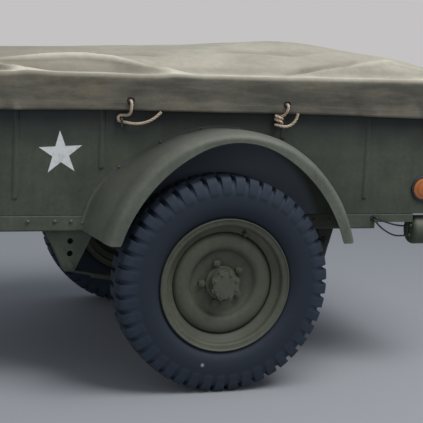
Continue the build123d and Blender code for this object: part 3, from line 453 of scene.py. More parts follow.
# A wheel nut: hexagon with its top corners turned off and the stud's end in it
bpy.ops.object.select_all(action="DESELECT")
bpy.ops.mesh.primitive_cylinder_add(vertices=6, radius=0.0128, depth=0.0160, location=(0, 0, 0.0080))
nut = bpy.context.object
bpy.ops.object.transform_apply()
pick_faces(nut, lambda face: face.normal.z > 0.9)
bpy.ops.mesh.bevel(offset=0.0022, segments=2, affect="EDGES")
pick_faces(nut, lambda face: face.normal.z > 0.99)
bpy.ops.mesh.inset(thickness=0.0040)
bpy.ops.mesh.extrude_region_move(TRANSFORM_OT_translate={"value": (0, 0, 0.0034)})
bpy.ops.mesh.bevel(offset=0.0008, segments=1, affect="EDGES")
bpy.ops.object.mode_set(mode="OBJECT")
smooth(30)
nut.data.materials.append(wheel_enamel)

# A cap bolt: low hexagon head with softened edges
bpy.ops.object.select_all(action="DESELECT")
bpy.ops.mesh.primitive_cylinder_add(vertices=6, radius=0.0054, depth=0.0038, location=(0, 0, 0.0019))
cap_bolt = bpy.context.object
bpy.ops.object.transform_apply()
apply_modifier(cap_bolt, "soften", "BEVEL", width=0.0007, segments=2)
smooth(30)
cap_bolt.data.materials.append(wheel_enamel)

# A tyre valve: black stem with its cap, standing out of the rim's slope
bpy.ops.object.select_all(action="DESELECT")
bpy.ops.mesh.primitive_circle_add(vertices=24, radius=0.0085, fill_type="NGON")
valve = bpy.context.object
bpy.ops.object.mode_set(mode="EDIT")
valve_steps = [(0.003, 0.95), (0.003, 0.6), (0.012, 0.85), (0.0005, 1.25), (0.008, 1.0), (0.0015, 0.8)]
for rise, share in valve_steps:
    bpy.ops.mesh.extrude_region_move(TRANSFORM_OT_translate={"value": (0, 0, rise)})
    bpy.ops.transform.resize(value=(share, share, 1), center_override=(0, 0, 0))
turn_faces_out()
smooth(30)
# Moulded rubber with carbon black: a soft dull sheen, greyed in specks by dust
black_rubber, add, place = new_material("moulded_black_rubber")
dust_spots = add("TexNoise", {"Vector": place, "Scale": 180.0, "Detail": 4.0})
greyed = add("MapRange", {"Value": dust_spots, "From Min": 0.4, "From Max": 0.75})
blend = add("Mix", {"Factor": greyed, 6: "#17191C", 7: "#33353A"}, data_type="RGBA")
shader = add("BsdfPrincipled", {"Base Color": blend, "Roughness": 0.6})
add("OutputMaterial", {"Surface": shader})
valve.data.materials.append(black_rubber)


def round_the_hub(count, first, radius, out):
    """Places for fasteners evenly round the wheel's axis, each standing outwards."""
    stand = Matrix.Rotation(math.radians(-90), 4, "X")
    angles = [math.radians(first + 360 / count * i) for i in range(count)]
    return [Matrix.Translation((radius * math.cos(a), out, radius * math.sin(a))) @ stand for a in angles]


disc_face, nut_seat, cap_face = 0.0150, 0.0152, 0.0660
stud_circle, cap_circle = 0.06985, 0.0395
valve_radius, valve_out, valve_angle, valve_lean = 0.184, 0.0335, math.radians(110), math.radians(-112)
valve_x, valve_z = valve_radius * math.cos(valve_angle), valve_radius * math.sin(valve_angle)
valve_spot = Matrix.Translation((valve_x, valve_out, valve_z))
valve_spot @= Matrix.Rotation(math.radians(90) - valve_angle, 4, "Y") @ Matrix.Rotation(valve_lean, 4, "X")
wheel_fittings = [
    (rim, "wheel_disc", [Matrix.Identity(4)]),
    (hub_flange, "hub_flange", [Matrix.Translation((0, disc_face, 0))]),
    (nut, "wheel_nuts", round_the_hub(5, 0, stud_circle, nut_seat)),
    (cap_bolt, "hub_cap_bolts", round_the_hub(8, 22.5, cap_circle, cap_face)),
    (valve, "tyre_valve", [valve_spot]),
]
wheel_y, axle_z = 0.622, 0.360
wheel_places = {}
for side, sign in sides:
    half_turn = Matrix.Rotation(0 if sign > 0 else math.pi, 4, "Z")
    wheel_places[side] = Matrix.Translation((axle_x, sign * wheel_y, axle_z)) @ half_turn
    for source, name, spots in wheel_fittings:
        one = set_down(source, f"{name}_{side}", [wheel_places[side] @ spot for spot in spots])
        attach(one, f"wheel_{side}")
        if source == rim:
            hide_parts(f"wheel_{side}")
for source in (rim, hub_flange, nut, cap_bolt, valve):
    bpy.data.objects.remove(source)


# Tyres
# Bias-ply tyres moulded in black rubber. Bar lugs alternate from side to side of the tread and run
# down the shoulders, where the edges are scuffed round and the grooves hold dust.

# Each row is the carcass (radius, width) and where the same row lies on a lug
tread_rows = [
    (0.3470, 0.0045, 0.3597, 0.0045),
    (0.3468, 0.0300, 0.3594, 0.0300),
    (0.3445, 0.0560, 0.3576, 0.0600),
    (0.3385, 0.0640, 0.3510, 0.0672),
    (0.3310, 0.0700, 0.3400, 0.0722),
    (0.3210, 0.0746, 0.3246, 0.0762),
    (0.3120, 0.0772, 0.3130, 0.0780),
    (0.3030, 0.0787, 0.3030, 0.0790),
]
wall_rows = [
    (0.2940, 0.0797), (0.2850, 0.0800), (0.2760, 0.0799), (0.2680, 0.0794), (0.2600, 0.0783),
    (0.2520, 0.0764), (0.2450, 0.0737), (0.2390, 0.0703), (0.2345, 0.0668), (0.2300, 0.0632),
    (0.2262, 0.0592), (0.2240, 0.0566), (0.2048, 0.0560),
]
lug_count, steps_per_lug, groove_steps = 45, 6, (2, 3)
tread_from, tread_half, middle_rib, tread_turn = 0.303, 0.0787, 0.004, 1
side_rows = [row[:2] for row in tread_rows] + wall_rows
tyre_loop = [(r, -w) for r, w in reversed(side_rows)] + side_rows
lug_place = {}
for r, w, lug_r, lug_w in tread_rows:
    lug_place[round(r, 4), round(w, 4)] = (lug_r, lug_w)
    lug_place[round(r, 4), -round(w, 4)] = (lug_r, -lug_w)


def stands_proud(face):
    """Whether a face of the smooth carcass is on a lug or on the rib round the middle."""
    x, w, z = face.center
    step = int(math.degrees(math.atan2(z, x)) % 360 / 360 * lug_count * steps_per_lug)
    tread = math.hypot(x, z) > tread_from and abs(w) < tread_half
    shifted = step + (steps_per_lug // 2 if w < 0 else 0)
    on_lug = shifted % steps_per_lug not in groove_steps
    return tread and (on_lug or abs(w) < middle_rib)


tyre = turned_ring(tyre_loop, lug_count * steps_per_lug)
pick_faces(tyre, stands_proud)
bpy.ops.mesh.extrude_region_move(TRANSFORM_OT_translate={"value": (0, 0, 0)})
bpy.ops.object.mode_set(mode="OBJECT")
for vertex in tyre.data.vertices:
    if vertex.select:
        x, w, z = vertex.co
        r = math.hypot(x, z)
        lug_r, lug_w = lug_place[round(r, 4), round(w, 4)]
        vertex.co = (x * lug_r / r, lug_w, z * lug_r / r)
turn_faces_out(merge=0.00002)
apply_modifier(tyre, "worn_edges", "BEVEL", width=0.0016, segments=2, limit_method="ANGLE",
               angle_limit=math.radians(38))
smooth(32)
tyre.rotation_euler = (0, math.radians(tread_turn), 0)
bpy.ops.object.transform_apply(location=False, rotation=True, scale=False)

# Carbon-filled rubber: nearly black and dull, with a painted blue sky reflection, and paler on the lugs
# from scuffing and more painted sky reflection
tyre_rubber, add, place = new_material("weathered_tyre_rubber_with_painted_sky")
centred = add("Mapping", {"Vector": place, "Location": (-axle_x, 0, -axle_z)})
flat = add("VectorMath", {0: centred, 1: (1, 0, 1)}, operation="MULTIPLY")
radius = add("VectorMath", {0: flat}, operation="LENGTH")
scuff_and_sky_sheen = add("MapRange", {"Value": radius, "From Min": 0.296, "From Max": 0.330, "To Max": 0.6})
dirt = add("TexNoise", {"Vector": place, "Scale": 38.0, "Detail": 6.0, "Roughness": 0.7})
share = add("MapRange", {"Value": dirt, "From Min": 0.35, "From Max": 0.7, "To Min": 0.35})
pale = add("Math", {0: scuff_and_sky_sheen, 1: share}, operation="MULTIPLY")
# Both colours are tinted blue as painted sky reflection
blend = add("Mix", {"Factor": pale, 6: "#1F2732", 7: "#333E4C"}, data_type="RGBA")
# A dab of pale paint on the outer wall of the left tyre, low and to the front
dab = add("VectorMath", {0: place, 1: (-0.3793, 0.7000, 0.0989)}, operation="DISTANCE")
dabbed = add("MapRange", {"Value": dab, "From Min": 0.0075, "From Max": 0.0045, "To Max": 0.55})
marked = add("Mix", {"Factor": dabbed, 6: blend, 7: "#A9AAA6"}, data_type="RGBA")
fine = add("TexNoise", {"Vector": place, "Scale": 420.0, "Detail": 3.0})
bumps = add("Bump", {"Height": fine, "Strength": 0.4, "Distance": 0.0005})
shader = add("BsdfPrincipled", {"Base Color": marked, "Normal": bumps, "Roughness": 0.72, "IOR": 1.5,
                                "Specular IOR Level": 0.35})
add("OutputMaterial", {"Surface": shader})
tyre.data.materials.append(tyre_rubber)

for side, sign in sides:
    one = set_down(tyre, f"tyre_rubber_{side}", [wheel_places[side]])
    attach(one, f"wheel_{side}")
    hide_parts(f"tyre_{side}")
bpy.data.objects.remove(tyre)


# Tail lamps, their wires and the reflectors
# Pressed lamp bodies with domed backs and red moulded lenses; two rubber-covered leads run to the
# left lamp from a grommet in the rail. Reflectors are amber or red lenses in black rubber rims.

def moulded_lens(name, deep, painted_glint):
    """Clear coloured plastic, moulded inside in 4 mm prisms, whose glints are painted in as paler cells."""
    material, add, place = new_material(name)
    prisms = add("TexVoronoi", {"Vector": place, "Scale": 250.0, "Randomness": 0.0}, distance="CHEBYCHEV")
    glint_share = add("MapRange", {"Value": prisms, "From Min": 0.1, "From Max": 0.5})
    # Painted glints: the prism cells are mixed towards the paler colour
    blend = add("Mix", {"Factor": glint_share, 6: painted_glint, 7: deep}, data_type="RGBA")
    facets = add("Bump", {"Height": prisms, "Strength": 0.5, "Distance": 0.0006})
    shader = add("BsdfPrincipled", {"Base Color": blend, "Roughness": 0.22, "IOR": 1.49, "Coat Weight": 0.4,
                                    "Coat Roughness": 0.08, "Normal": facets})
    add("OutputMaterial", {"Surface": shader})
    return material


paint_nodes(moulded_lens("amber_acrylic_lens", "#8A4A20", "#D07C3C"), "reflectors_side")
paint_nodes(moulded_lens("red_acrylic_lens", "#5A0E0B", "#8E1C14"), "reflectors_rear")
paint_nodes(moulded_lens("red_lamp_lens", "#4A0D0A", "#7A1A12"), "lamp_lenses")
paint_nodes(black_rubber, "wire_grommets", "reflector_housings")

# The leads' routes: straight out of the grommet, round and back to the lamp's two glands
wire_routes = {
    "lamp_wire_upper": (0.1758, [
        (-614, 490.5, 549), (-614, 498.5, 549), (-623, 503.5, 546), (-641, 501.5, 538), (-670, 493.5, 528),
        (-702, 481.5, 519), (-732, 471.5, 513.5), (-752, 464, 512), (-770, 464, 512)]),
    "lamp_wire_lower": (0.1966, [
        (-610, 490.5, 541), (-610, 499.5, 541), (-618, 504.5, 532), (-632, 503.5, 518), (-654, 499.5, 503),
        (-682, 490.5, 488), (-714, 478.5, 478), (-750, 459, 475), (-770, 459, 475)]),
}


def put_in(name, data):
    """A new object for a mesh, curve, camera or lamp, which alone is selected and active."""
    one = bpy.data.objects.new(name, data)
    bpy.context.collection.objects.link(one)
    bpy.ops.object.select_all(action="DESELECT")
    one.select_set(True)
    bpy.context.view_layer.objects.active = one
    return one


def laid_line(name, route):
    """A NURBS line whose control points are a route in mm, its x from the axle."""
    line = bpy.data.curves.new(name, "CURVE")
    line.dimensions = "3D"
    spline = line.splines.new("NURBS")
    spline.points.add(len(route) - 1)
    for point, (x, y, z) in zip(spline.points, route):
        point.co = (x / 1000 + axle_x, y / 1000, z / 1000, 1)
    spline.order_u = 3
    spline.use_endpoint_u = True
    spline.resolution_u = 12
    return put_in(name, line)


for name, (length, route) in wire_routes.items():
    wire = laid_line(name, route)
    wire.data.bevel_depth = 0.003
    wire.data.bevel_resolution = 4
    wire.data.use_fill_caps = True
    wire.data.materials.append(black_rubber)
    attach(wire, "chassis")
    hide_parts("lamp_wires")


# Canvas cover
# One cut of heavy cotton duck with a 28 mm hem, drawn down over the tub's rolled edge by its ropes.
# The sun has bleached the top, and its paleness is partly painted sky light; the skirt hangs nearly plumb,
# water-stained and painted darker as shade. Folds and the rolled edge carry painted highlights and shade.

half_long, half_wide, plan_corner, roll = 0.93725, 0.50725, 0.112, 0.018
hem_low, hem_depth, skirt_deep = 0.910, 0.028, 0.11
rolled_edge_top, cloth_thick = 1.018, 0.0025
# Height of the crown along the trailer's middle: x from the axle, and z
cover_crown = [(-0.9385, 1.062), (-0.9, 1.077), (-0.86, 1.087), (-0.74, 1.103), (-0.62, 1.115),
               (-0.5, 1.134), (-0.45, 1.138), (-0.4, 1.1365), (-0.26, 1.126), (-0.05, 1.111),
               (0.25, 1.096), (0.68, 1.074), (0.85, 1.049), (0.9385, 1.031)]
# Folds and hollows of the top: height, half width, and the line that each follows
folds = [
    (0.021, 0.018, [(0.76, 0.35), (0.62, 0.349), (0.487, 0.337), (0.409, 0.334), (0.33, 0.36),
                    (0.255, 0.418), (0.148, 0.478), (0.09, 0.488)]),
    (-0.013, 0.036, [(0.7, 0.39), (0.6, 0.41), (0.5, 0.405), (0.4, 0.402), (0.32, 0.425), (0.22, 0.465)]),
    (0.019, 0.015, [(0.8, 0.35), (0.72, 0.42), (0.688, 0.458), (0.645, 0.482), (0.56, 0.49)]),
    (-0.012, 0.012, [(-0.25, 0.462), (-0.39, 0.418), (-0.505, 0.393), (-0.648, 0.3)]),
    (0.01, 0.022, [(-0.29, 0.478), (-0.4, 0.448), (-0.52, 0.424), (-0.66, 0.35), (-0.79, 0.27)]),
    (-0.012, 0.032, [(-0.065, 0.214), (-0.205, 0.234), (-0.345, 0.267), (-0.506, 0.21)]),
    (-0.012, 0.03, [(0.484, 0.256), (0.342, 0.235), (0.203, 0.245), (0.101, 0.265)]),
    (0.014, 0.026, [(0.62, -0.3), (0.4, -0.34), (0.18, -0.3), (-0.02, -0.36)]),
    (-0.013, 0.032, [(0.55, -0.4), (0.3, -0.42), (0.1, -0.41)]),
    (0.012, 0.024, [(-0.3, -0.28), (-0.5, -0.33), (-0.7, -0.42)]),
    (-0.01, 0.02, [(-0.25, -0.38), (-0.48, -0.41), (-0.66, -0.47)]),
    (-0.006, 0.028, [(-0.66, 0.02), (-0.72, -0.12), (-0.8, -0.22)]),
    (0.006, 0.02, [(-0.7, 0.33), (-0.8, 0.4), (-0.86, 0.44)]),
]
# Slanting pulls down the skirt: x at its top, x at its hem, height and half width
skirt_pulls = [
    (0.745, 0.7, -0.005, 0.018), (0.7, 0.665, 0.0045, 0.02), (0.64, 0.6, -0.0025, 0.022),
    (0.36, 0.31, 0.003, 0.02), (0.12, 0.09, -0.0025, 0.03), (-0.18, -0.235, 0.003, 0.018),
    (-0.46, -0.52, -0.004, 0.02), (-0.52, -0.585, 0.0035, 0.022), (-0.7, -0.77, -0.0045, 0.022),
]
eyelet_height, eyelet_hold = 0.941, 0.055
side_eyelets = [0.768, 0.298, -0.249, -0.822]
end_eyelets = [-0.25, 0.25]
eyelet_spots = [(x, s * half_wide) for x in side_eyelets for s in (1, -1)]
eyelet_spots += [(s * half_long, y) for y in end_eyelets for s in (1, -1)]


def fold_height(x, y):
    """Every fold's height at a point of the top, fading out towards the fold's ends."""
    total = 0.0
    for height, half, line in folds:
        spot = Vector((x, y))
        nearest, along = 1.0, 0.0
        count = len(line) - 1
        for i in range(count):
            a, b = Vector(line[i]), Vector(line[i + 1])
            t = min(1.0, max(0.0, (spot - a).dot(b - a) / (b - a).length_squared))
            gap = (spot - a - (b - a) * t).length
            if gap < nearest:
                nearest, along = gap, (i + t) / count
        if nearest < 3 * half:
            fade = min(1.0, 5 * along, 5 * (1 - along))
            spread = half * (0.75 + 0.5 * along)
            total += height * (0.25 + 0.75 * fade) * math.exp(-(nearest / spread) ** 2)
    return total


def ripple(x, y, per_metre, layer):
    """Smooth noise over the cloth with about so many humps in a metre, each layer on its own."""
    return noise.noise(Vector((x * per_metre, y * per_metre, layer)))


def skirt_swing(x, y, drop):
    """How far the skirt stands out from plumb, nothing at its top and at the eyelets."""
    pulled = 0.0
    for top_x, hem_x, height, half in skirt_pulls:
        middle = top_x + (hem_x - top_x) * drop / skirt_deep
        pulled += height * math.exp(-((x - middle) / half) ** 2)
    waves = 0.0065 * ripple(x, y, 2.6, 3.7) + 0.0035 * ripple(x, y, 9.0, 8.1)
    held = 1.0
    for ex, ey in eyelet_spots:
        held *= 1 - math.exp(-((x - ex) ** 2 + (y - ey) ** 2) / eyelet_hold ** 2)
    return held * drop / skirt_deep * (0.0025 + waves + pulled)


inner_long, inner_wide, inner_corner = half_long - roll, half_wide - roll, plan_corner - roll
straight = inner_long - inner_corner
corner_steps = [inner_corner * math.sin(math.radians(6 * i)) for i in range(15, 0, -1)]
long_steps, wide_steps = 186, 124
rows = [straight + step for step in corner_steps]
rows += [straight - 2 * straight * i / long_steps for i in range(long_steps + 1)]
rows += [-straight - step for step in reversed(corner_steps)]
columns = [-1 + 2 * j / wide_steps for j in range(wide_steps + 1)]
# The edge stands at this height in front and rises so much a metre towards the rear
front_edge, edge_rise = 1.020, 0.0105
sag_deep, sag_inward, sag_wide = 0.0075, 0.046, 0.026

points, cut, wear_and_light = [], [], []
for x in rows:
    past = max(0.0, abs(x) - straight)
    wide = inner_wide - inner_corner + math.sqrt(max(0.0, inner_corner ** 2 - past ** 2))
    edge = front_edge + edge_rise * (half_long - x)
    # Towards the rear the crown's section is boxier
    fullness = 2.2 + 1.4 * min(1.0, max(0.0, (-x - 0.35) / 0.5))
    # The measured crown is smoothed over seven points, 20 mm apart
    smooth_crown = sum(between(cover_crown, x + 0.02 * k) for k in range(-3, 4)) / 7
    for v in columns:
        y = v * wide
        rise = (max(smooth_crown, edge) - edge) * (1 - abs(v) ** fullness)
        inward = min((1 - abs(v)) * inner_wide, inner_long - abs(x))
        # Stretched over the tub's rolled edge, the cloth stands highest there and sags just inside
        sag = sag_deep * math.exp(-((inward - sag_inward) / sag_wide) ** 2)
        slack = 0.0035 * ripple(x, y, 4.2, 0.4) + 0.0016 * ripple(x, y, 13.0, 5.4)
        fold = fold_height(x, y)
        height = edge + rise - sag + min(1.0, 0.35 + inward / 0.03) * (fold + slack)
        points.append((x, y, max(height, rolled_edge_top + cloth_thick)))
        # Wear and painted highlight are high on folds and over the tub's edge, and below nothing in hollows
        # and the sag, which are painted shade
        edge_rub_and_highlight = 0.65 + 0.5 * ripple(x, y, 7.0, 2.2)
        wear_and_light.append(fold / 0.022 + edge_rub_and_highlight * math.exp(-(inward / 0.010) ** 2) - 0.5 * sag / sag_deep)
        cut.append((x, y))
wide_count, long_count = len(columns), len(rows)
faces = []
for i in range(long_count - 1):
    for j in range(wide_count - 1):
        a = i * wide_count + j
        faces.append((a, a + 1, a + wide_count + 1, a + wide_count))

# The edge of the top in order, with the way out from it in plan
sides_out = []
for x in rows[1:-1]:
    past = max(0.0, abs(x) - straight) / inner_corner
    sides_out.append((math.copysign(past, x), math.sqrt(1 - past * past)))
edge_ring = [(j, 1.0, 0.0) for j in range(wide_count)]
edge_ring += [(i * wide_count + wide_count - 1, nx, ny) for i, (nx, ny) in enumerate(sides_out, 1)]
edge_ring += [((long_count - 1) * wide_count + j, -1.0, 0.0) for j in reversed(range(wide_count))]
edge_ring += reversed([(i * wide_count, nx, -ny) for i, (nx, ny) in enumerate(sides_out, 1)])

# Over the tub's edge the cloth turns down in five steps: how far out and how far down each ends
turns = [math.radians(18 * step) for step in range(1, 6)]
drops = [(roll * math.sin(a), roll * (1 - math.cos(a))) for a in turns]
last_ring = [index for index, nx, ny in edge_ring]
from_hem = [1.0] * len(points)
skirt_rings, hem_band = 14, 0.0009
for ring in range(len(drops) + skirt_rings):
    this_ring = []
    for index, nx, ny in edge_ring:
        x, y, top = points[index]
        # The hem wavers by 3 mm and hangs lower towards both ends, by 8 mm at most
        hem = hem_low + 0.003 * ripple(x, y, 3.1, 1.3) - min(0.008, 0.0125 * x * x)
        if ring < len(drops):
            out, fall = drops[ring]
            travelled = roll * turns[ring]
            # Over the roll the cloth is painted paler, as rubbed wear and painted highlight
            wear_and_light.append(0.65 * max(0.0, 1 - ring / 3) + 40 * (out - roll) - 0.1)
        else:
            reach = top - roll - hem
            fall = roll + reach * (ring + 1 - len(drops)) / skirt_rings
            band = hem_band if top - fall < hem + hem_depth else 0.0
            out = roll + band + skirt_swing(x + nx * roll, y + ny * roll, fall - roll)
            travelled = roll * math.pi / 2 + fall - roll
            # The skirt is painted paler where it stands out and darker where it falls in: painted light and
            # shade
            wear_and_light.append(60 * (out - roll - 0.003))
        this_ring.append(len(points))
        points.append((x + nx * out, y + ny * out, top - fall))
        cut.append((x + nx * travelled, y + ny * travelled))
        from_hem.append(top - fall - hem)
    for k in range(len(edge_ring)):
        # The ring closes on itself: point -1 comes before point 0
        faces.append((last_ring[k - 1], this_ring[k - 1], this_ring[k], last_ring[k]))
    last_ring = this_ring

mesh = bpy.data.meshes.new("canvas_cover")
mesh.from_pydata([(x + axle_x, y, z) for x, y, z in points], [], faces)
mesh.attributes.new("from_hem", "FLOAT", "POINT").data.foreach_set("value", from_hem)
wear_and_light = [max(-1.0, min(1.0, share)) for share in wear_and_light]
mesh.attributes.new("crease_wear_and_light", "FLOAT", "POINT").data.foreach_set("value", wear_and_light)
flat_map = mesh.uv_layers.new(name="cut")
for loop in mesh.loops:
    flat_map.data[loop.index].uv = cut[loop.vertex_index]
canvas_cover = put_in("canvas_cover", mesh)
turn_faces_out(merge=0.00005)
bpy.ops.object.shade_smooth()
apply_modifier(canvas_cover, "cloth", "SOLIDIFY", thickness=cloth_thick, offset=0)

# Cotton duck: closely woven and unglazed, so dull all over, with a faint sheen of fibre ends
duck, add, place = new_material("weathered_cotton_duck_with_painted_light")
up = add("SeparateXYZ", {"Vector": add("NewGeometry").outputs["Normal"]})
on_cut = add("UVMap", uv_map="cut")
# Paler where it faces up: partly sun bleaching and partly painted sky light, so slopes that turn away are
# painted darker
sunned_and_sky_lit = add("MapRange", {"Value": up.outputs["Z"], "From Min": 0.25, "From Max": 0.96})
# Blotches of about 200 mm from drying unevenly, and finer grime of about 25 mm
blotch = add("TexNoise", {"Vector": place, "Scale": 4.5, "Detail": 4.0, "Roughness": 0.6})
blotched = add("MapRange", {"Value": blotch, "From Min": 0.35, "From Max": 0.68})
grime = add("TexNoise", {"Vector": place, "Scale": 40.0, "Detail": 6.0, "Roughness": 0.7})
grimed = add("MapRange", {"Value": grime, "From Min": 0.3, "From Max": 0.7, "To Min": 0.9, "To Max": 1.08})
top_colour = add("Mix", {"Factor": blotched, 6: "#8F897B", 7: "#A19C8D"}, data_type="RGBA")
# Water marks run along the skirt: blotches drawn out five times along the cloth
drawn = add("Mapping", {"Vector": place, "Scale": (5.0, 5.0, 26.0)})
marks = add("TexNoise", {"Vector": drawn, "Scale": 1.0, "Detail": 5.0, "Roughness": 0.6})
marked = add("MapRange", {"Value": marks, "From Min": 0.36, "From Max": 0.66})
green = add("Mix", {"Factor": blotched, 6: "#6F6757", 7: "#62635A"}, data_type="RGBA")
skirt_colour = add("Mix", {"Factor": marked, 6: "#4B4A42", 7: green}, data_type="RGBA")
# The front end of the top is darker and browner
along = add("SeparateXYZ", {"Vector": place})
darker_front = add("MapRange", {"Value": along.outputs["X"], "From Min": -0.35, "From Max": 0.25,
                             "To Max": 0.75})
top_with_darker_front = add("Mix", {"Factor": darker_front, 6: top_colour, 7: "#817968"}, data_type="RGBA")
cloth = add("Mix", {"Factor": sunned_and_sky_lit, 6: skirt_colour, 7: top_with_darker_front}, data_type="RGBA")
# Raised creases and the rolled edge are rubbed pale and painted paler as highlight; hollows are painted
# darker as shade
wear = add("Attribute", attribute_name="crease_wear_and_light").outputs["Fac"]
raised = add("MapRange", {"Value": wear, "From Min": 0.15, "From Max": 1.0, "To Max": 0.8})
hollow_shade = add("MapRange", {"Value": wear, "From Min": -0.1, "From Max": -0.9, "To Min": 1.0, "To Max": 0.66})
rubbed_and_highlighted = add("Mix", {"Factor": raised, 6: cloth, 7: "#C9C4B4"}, data_type="RGBA")
tone = add("Math", {0: grimed, 1: hollow_shade}, operation="MULTIPLY")
soiled = add("VectorMath", {0: rubbed_and_highlighted, "Scale": tone}, operation="SCALE")
# A row of stitches along the hem's turn, each stitch 6 mm long
above_hem = add("Attribute", attribute_name="from_hem").outputs["Fac"]
seam = add("Math", {0: above_hem, 1: 0.0255, 2: 0.0016}, operation="COMPARE")
thread_pitch = add("TexWave", {"Vector": on_cut, "Scale": 52.0}, bands_direction="DIAGONAL")
stitch = add("Math", {0: seam, 1: thread_pitch.outputs["Fac"]}, operation="MULTIPLY")
sewn = add("Mix", {"Factor": stitch, 6: soiled, 7: "#63605A"}, data_type="RGBA")
# Duck has about 1 mm between threads, drawn 2 mm so that it shows
warp = add("TexWave", {"Vector": on_cut, "Scale": 157.0, "Distortion": 0.4, "Detail": 1.0},
           bands_direction="X")
weft = add("TexWave", {"Vector": on_cut, "Scale": 157.0, "Distortion": 0.4, "Detail": 1.0},
           bands_direction="Y")
weave = add("Math", {0: warp.outputs["Fac"], 1: weft.outputs["Fac"]}, operation="MAXIMUM")
cloth_relief = add("Math", {0: weave, 1: stitch}, operation="ADD")
threads = add("Bump", {"Height": cloth_relief, "Strength": 0.35, "Distance": 0.0006})
creased = add("Bump", {"Height": grime, "Strength": 0.4, "Distance": 0.003, "Normal": threads})
shader = add("BsdfPrincipled", {"Base Color": sewn, "Roughness": 0.93, "Specular IOR Level": 0.2,
                                "Sheen Weight": 0.12, "Sheen Roughness": 0.6, "Normal": creased})
add("OutputMaterial", {"Surface": shader})
mesh.materials.append(duck)
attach(canvas_cover, "chassis")
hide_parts("cover")

# Rolled brass eyelets, nearly black: a round shoulder and a throat that goes into the cloth
throat = [(0.0135, 0.0000), (0.0132, 0.0012), (0.0120, 0.0022), (0.0104, 0.0026), (0.0088, 0.0022),
          (0.0078, 0.0010), (0.0072, -0.0004), (0.0, -0.0006)]
eyelet = turned_ring(throat, 36, axis=(0, 0, 1))
smooth(50)
# Brass, nearly black: only a dull glint of metal shows on its shoulder
dark_brass, add, place = new_material("nearly_black_eyelet_brass")
tarnish = add("TexNoise", {"Vector": place, "Scale": 300.0, "Detail": 4.0})
blend = add("Mix", {"Factor": tarnish, 6: "#15161A", 7: "#33302C"}, data_type="RGBA")
shader = add("BsdfPrincipled", {"Base Color": blend, "Metallic": 0.5, "Roughness": 0.55})
add("OutputMaterial", {"Surface": shader})
eyelet.data.materials.append(dark_brass)
spots = []
for x, y in eyelet_spots:
    at_side = abs(y) == half_wide
    out = Vector((0, math.copysign(1, y), 0)) if at_side else Vector((math.copysign(1, x), 0, 0))
    spot = Vector((axle_x + x, y, eyelet_height)) + out * cloth_thick / 2
    spots.append(Matrix.Translation(spot) @ out.to_track_quat("Z", "Y").to_matrix().to_4x4())
one = set_down(eyelet, "canvas_eyelets", spots)
bpy.data.objects.remove(eyelet)
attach(one, "chassis")
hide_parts("eyelets")


# Lashing ropes
# Three-strand sisal rope, 10 mm thick and sun-bleached. Each comes out of its eyelet, goes round
# the hook below and ends bare, with the strands just opening.

# Sisal is a hard leaf fibre: straw-coloured, dead matt and hairy, grey where it is soiled
sisal, add, place = new_material("three_strand_sisal")
# Fibres of about 1 mm, drawn three times coarser than they are so that they show
fibres = add("TexNoise", {"Vector": place, "Scale": 380.0, "Detail": 5.0, "Roughness": 0.75})
grey = add("TexNoise", {"Vector": place, "Scale": 45.0, "Detail": 3.0})
thread = add("MapRange", {"Value": fibres, "From Min": 0.3, "From Max": 0.7})
soiled = add("MapRange", {"Value": grey, "From Min": 0.45, "From Max": 0.75, "To Max": 0.6})
straw = add("Mix", {"Factor": thread, 6: "#97836B", 7: "#D6C4AC"}, data_type="RGBA")
blend = add("Mix", {"Factor": soiled, 6: straw, 7: "#85786A"}, data_type="RGBA")
hairs = add("Bump", {"Height": fibres, "Strength": 0.6, "Distance": 0.0008})
shader = add("BsdfPrincipled", {"Base Color": blend, "Roughness": 0.9, "Normal": hairs})
add("OutputMaterial", {"Surface": shader})

rope_front_route = [
    (298, 508.5, 941), (298, 514.5, 941), (298, 519.7, 938), (298.2, 522.7, 932.6),
    (298.6, 522.7, 923), (298.6, 520, 910), (299.4, 512, 899), (304.5, 502, 893.5),
    (312, 497, 892.2), (320.7, 496, 892.3), (329.3, 496, 892.3), (335.3, 496, 886.3),
    (335.3, 496, 877.7), (329.3, 496, 871.7), (320.7, 496, 871.7), (306, 499, 869),
    (290, 503, 866), (273, 508, 866), (256, 512, 869), (238, 515, 875),
    (222, 517, 884), (208, 519, 896), (197, 520, 907.5),
]
rope_rear_route = [
    (-249, 508.5, 941), (-249, 514.5, 941), (-249, 519.7, 938), (-248.4, 522.7, 932.6),
    (-246, 522.5, 923), (-242.5, 519, 913), (-238, 513.5, 905.5),
]
# The rear rope's turns round its hook: angle, and height over the hook's rod
hook_x, hook_y, hook_z, winding_radius = -222, 507.5, 882, 12.5
rear_winding = [
    (180, 20), (240, 21), (300, 21.5), (360, 20.5), (420, 17), (480, 12.5), (540, 8.5), (600, 9.2),
    (660, 10), (720, 8.6), (780, 5), (840, 0.5), (900, -5.5), (955, -10.4), (1010, -11.6), (1065, -9.6),
    (1115, -9.4), (1165, -12.2),
]
for angle, rise in rear_winding:
    a = math.radians(angle)
    x, y = hook_x + winding_radius * math.cos(a), hook_y + winding_radius * math.sin(a)
    rope_rear_route.append((x, y, hook_z + rise))
rope_rear_route += [
    (-234, 521.5, 867.5), (-246, 520.5, 867.5), (-258.5, 519.5, 871), (-269.5, 519.5, 878.5),
    (-278, 519.5, 889), (-283, 520, 901.5), (-285, 520, 914),
]

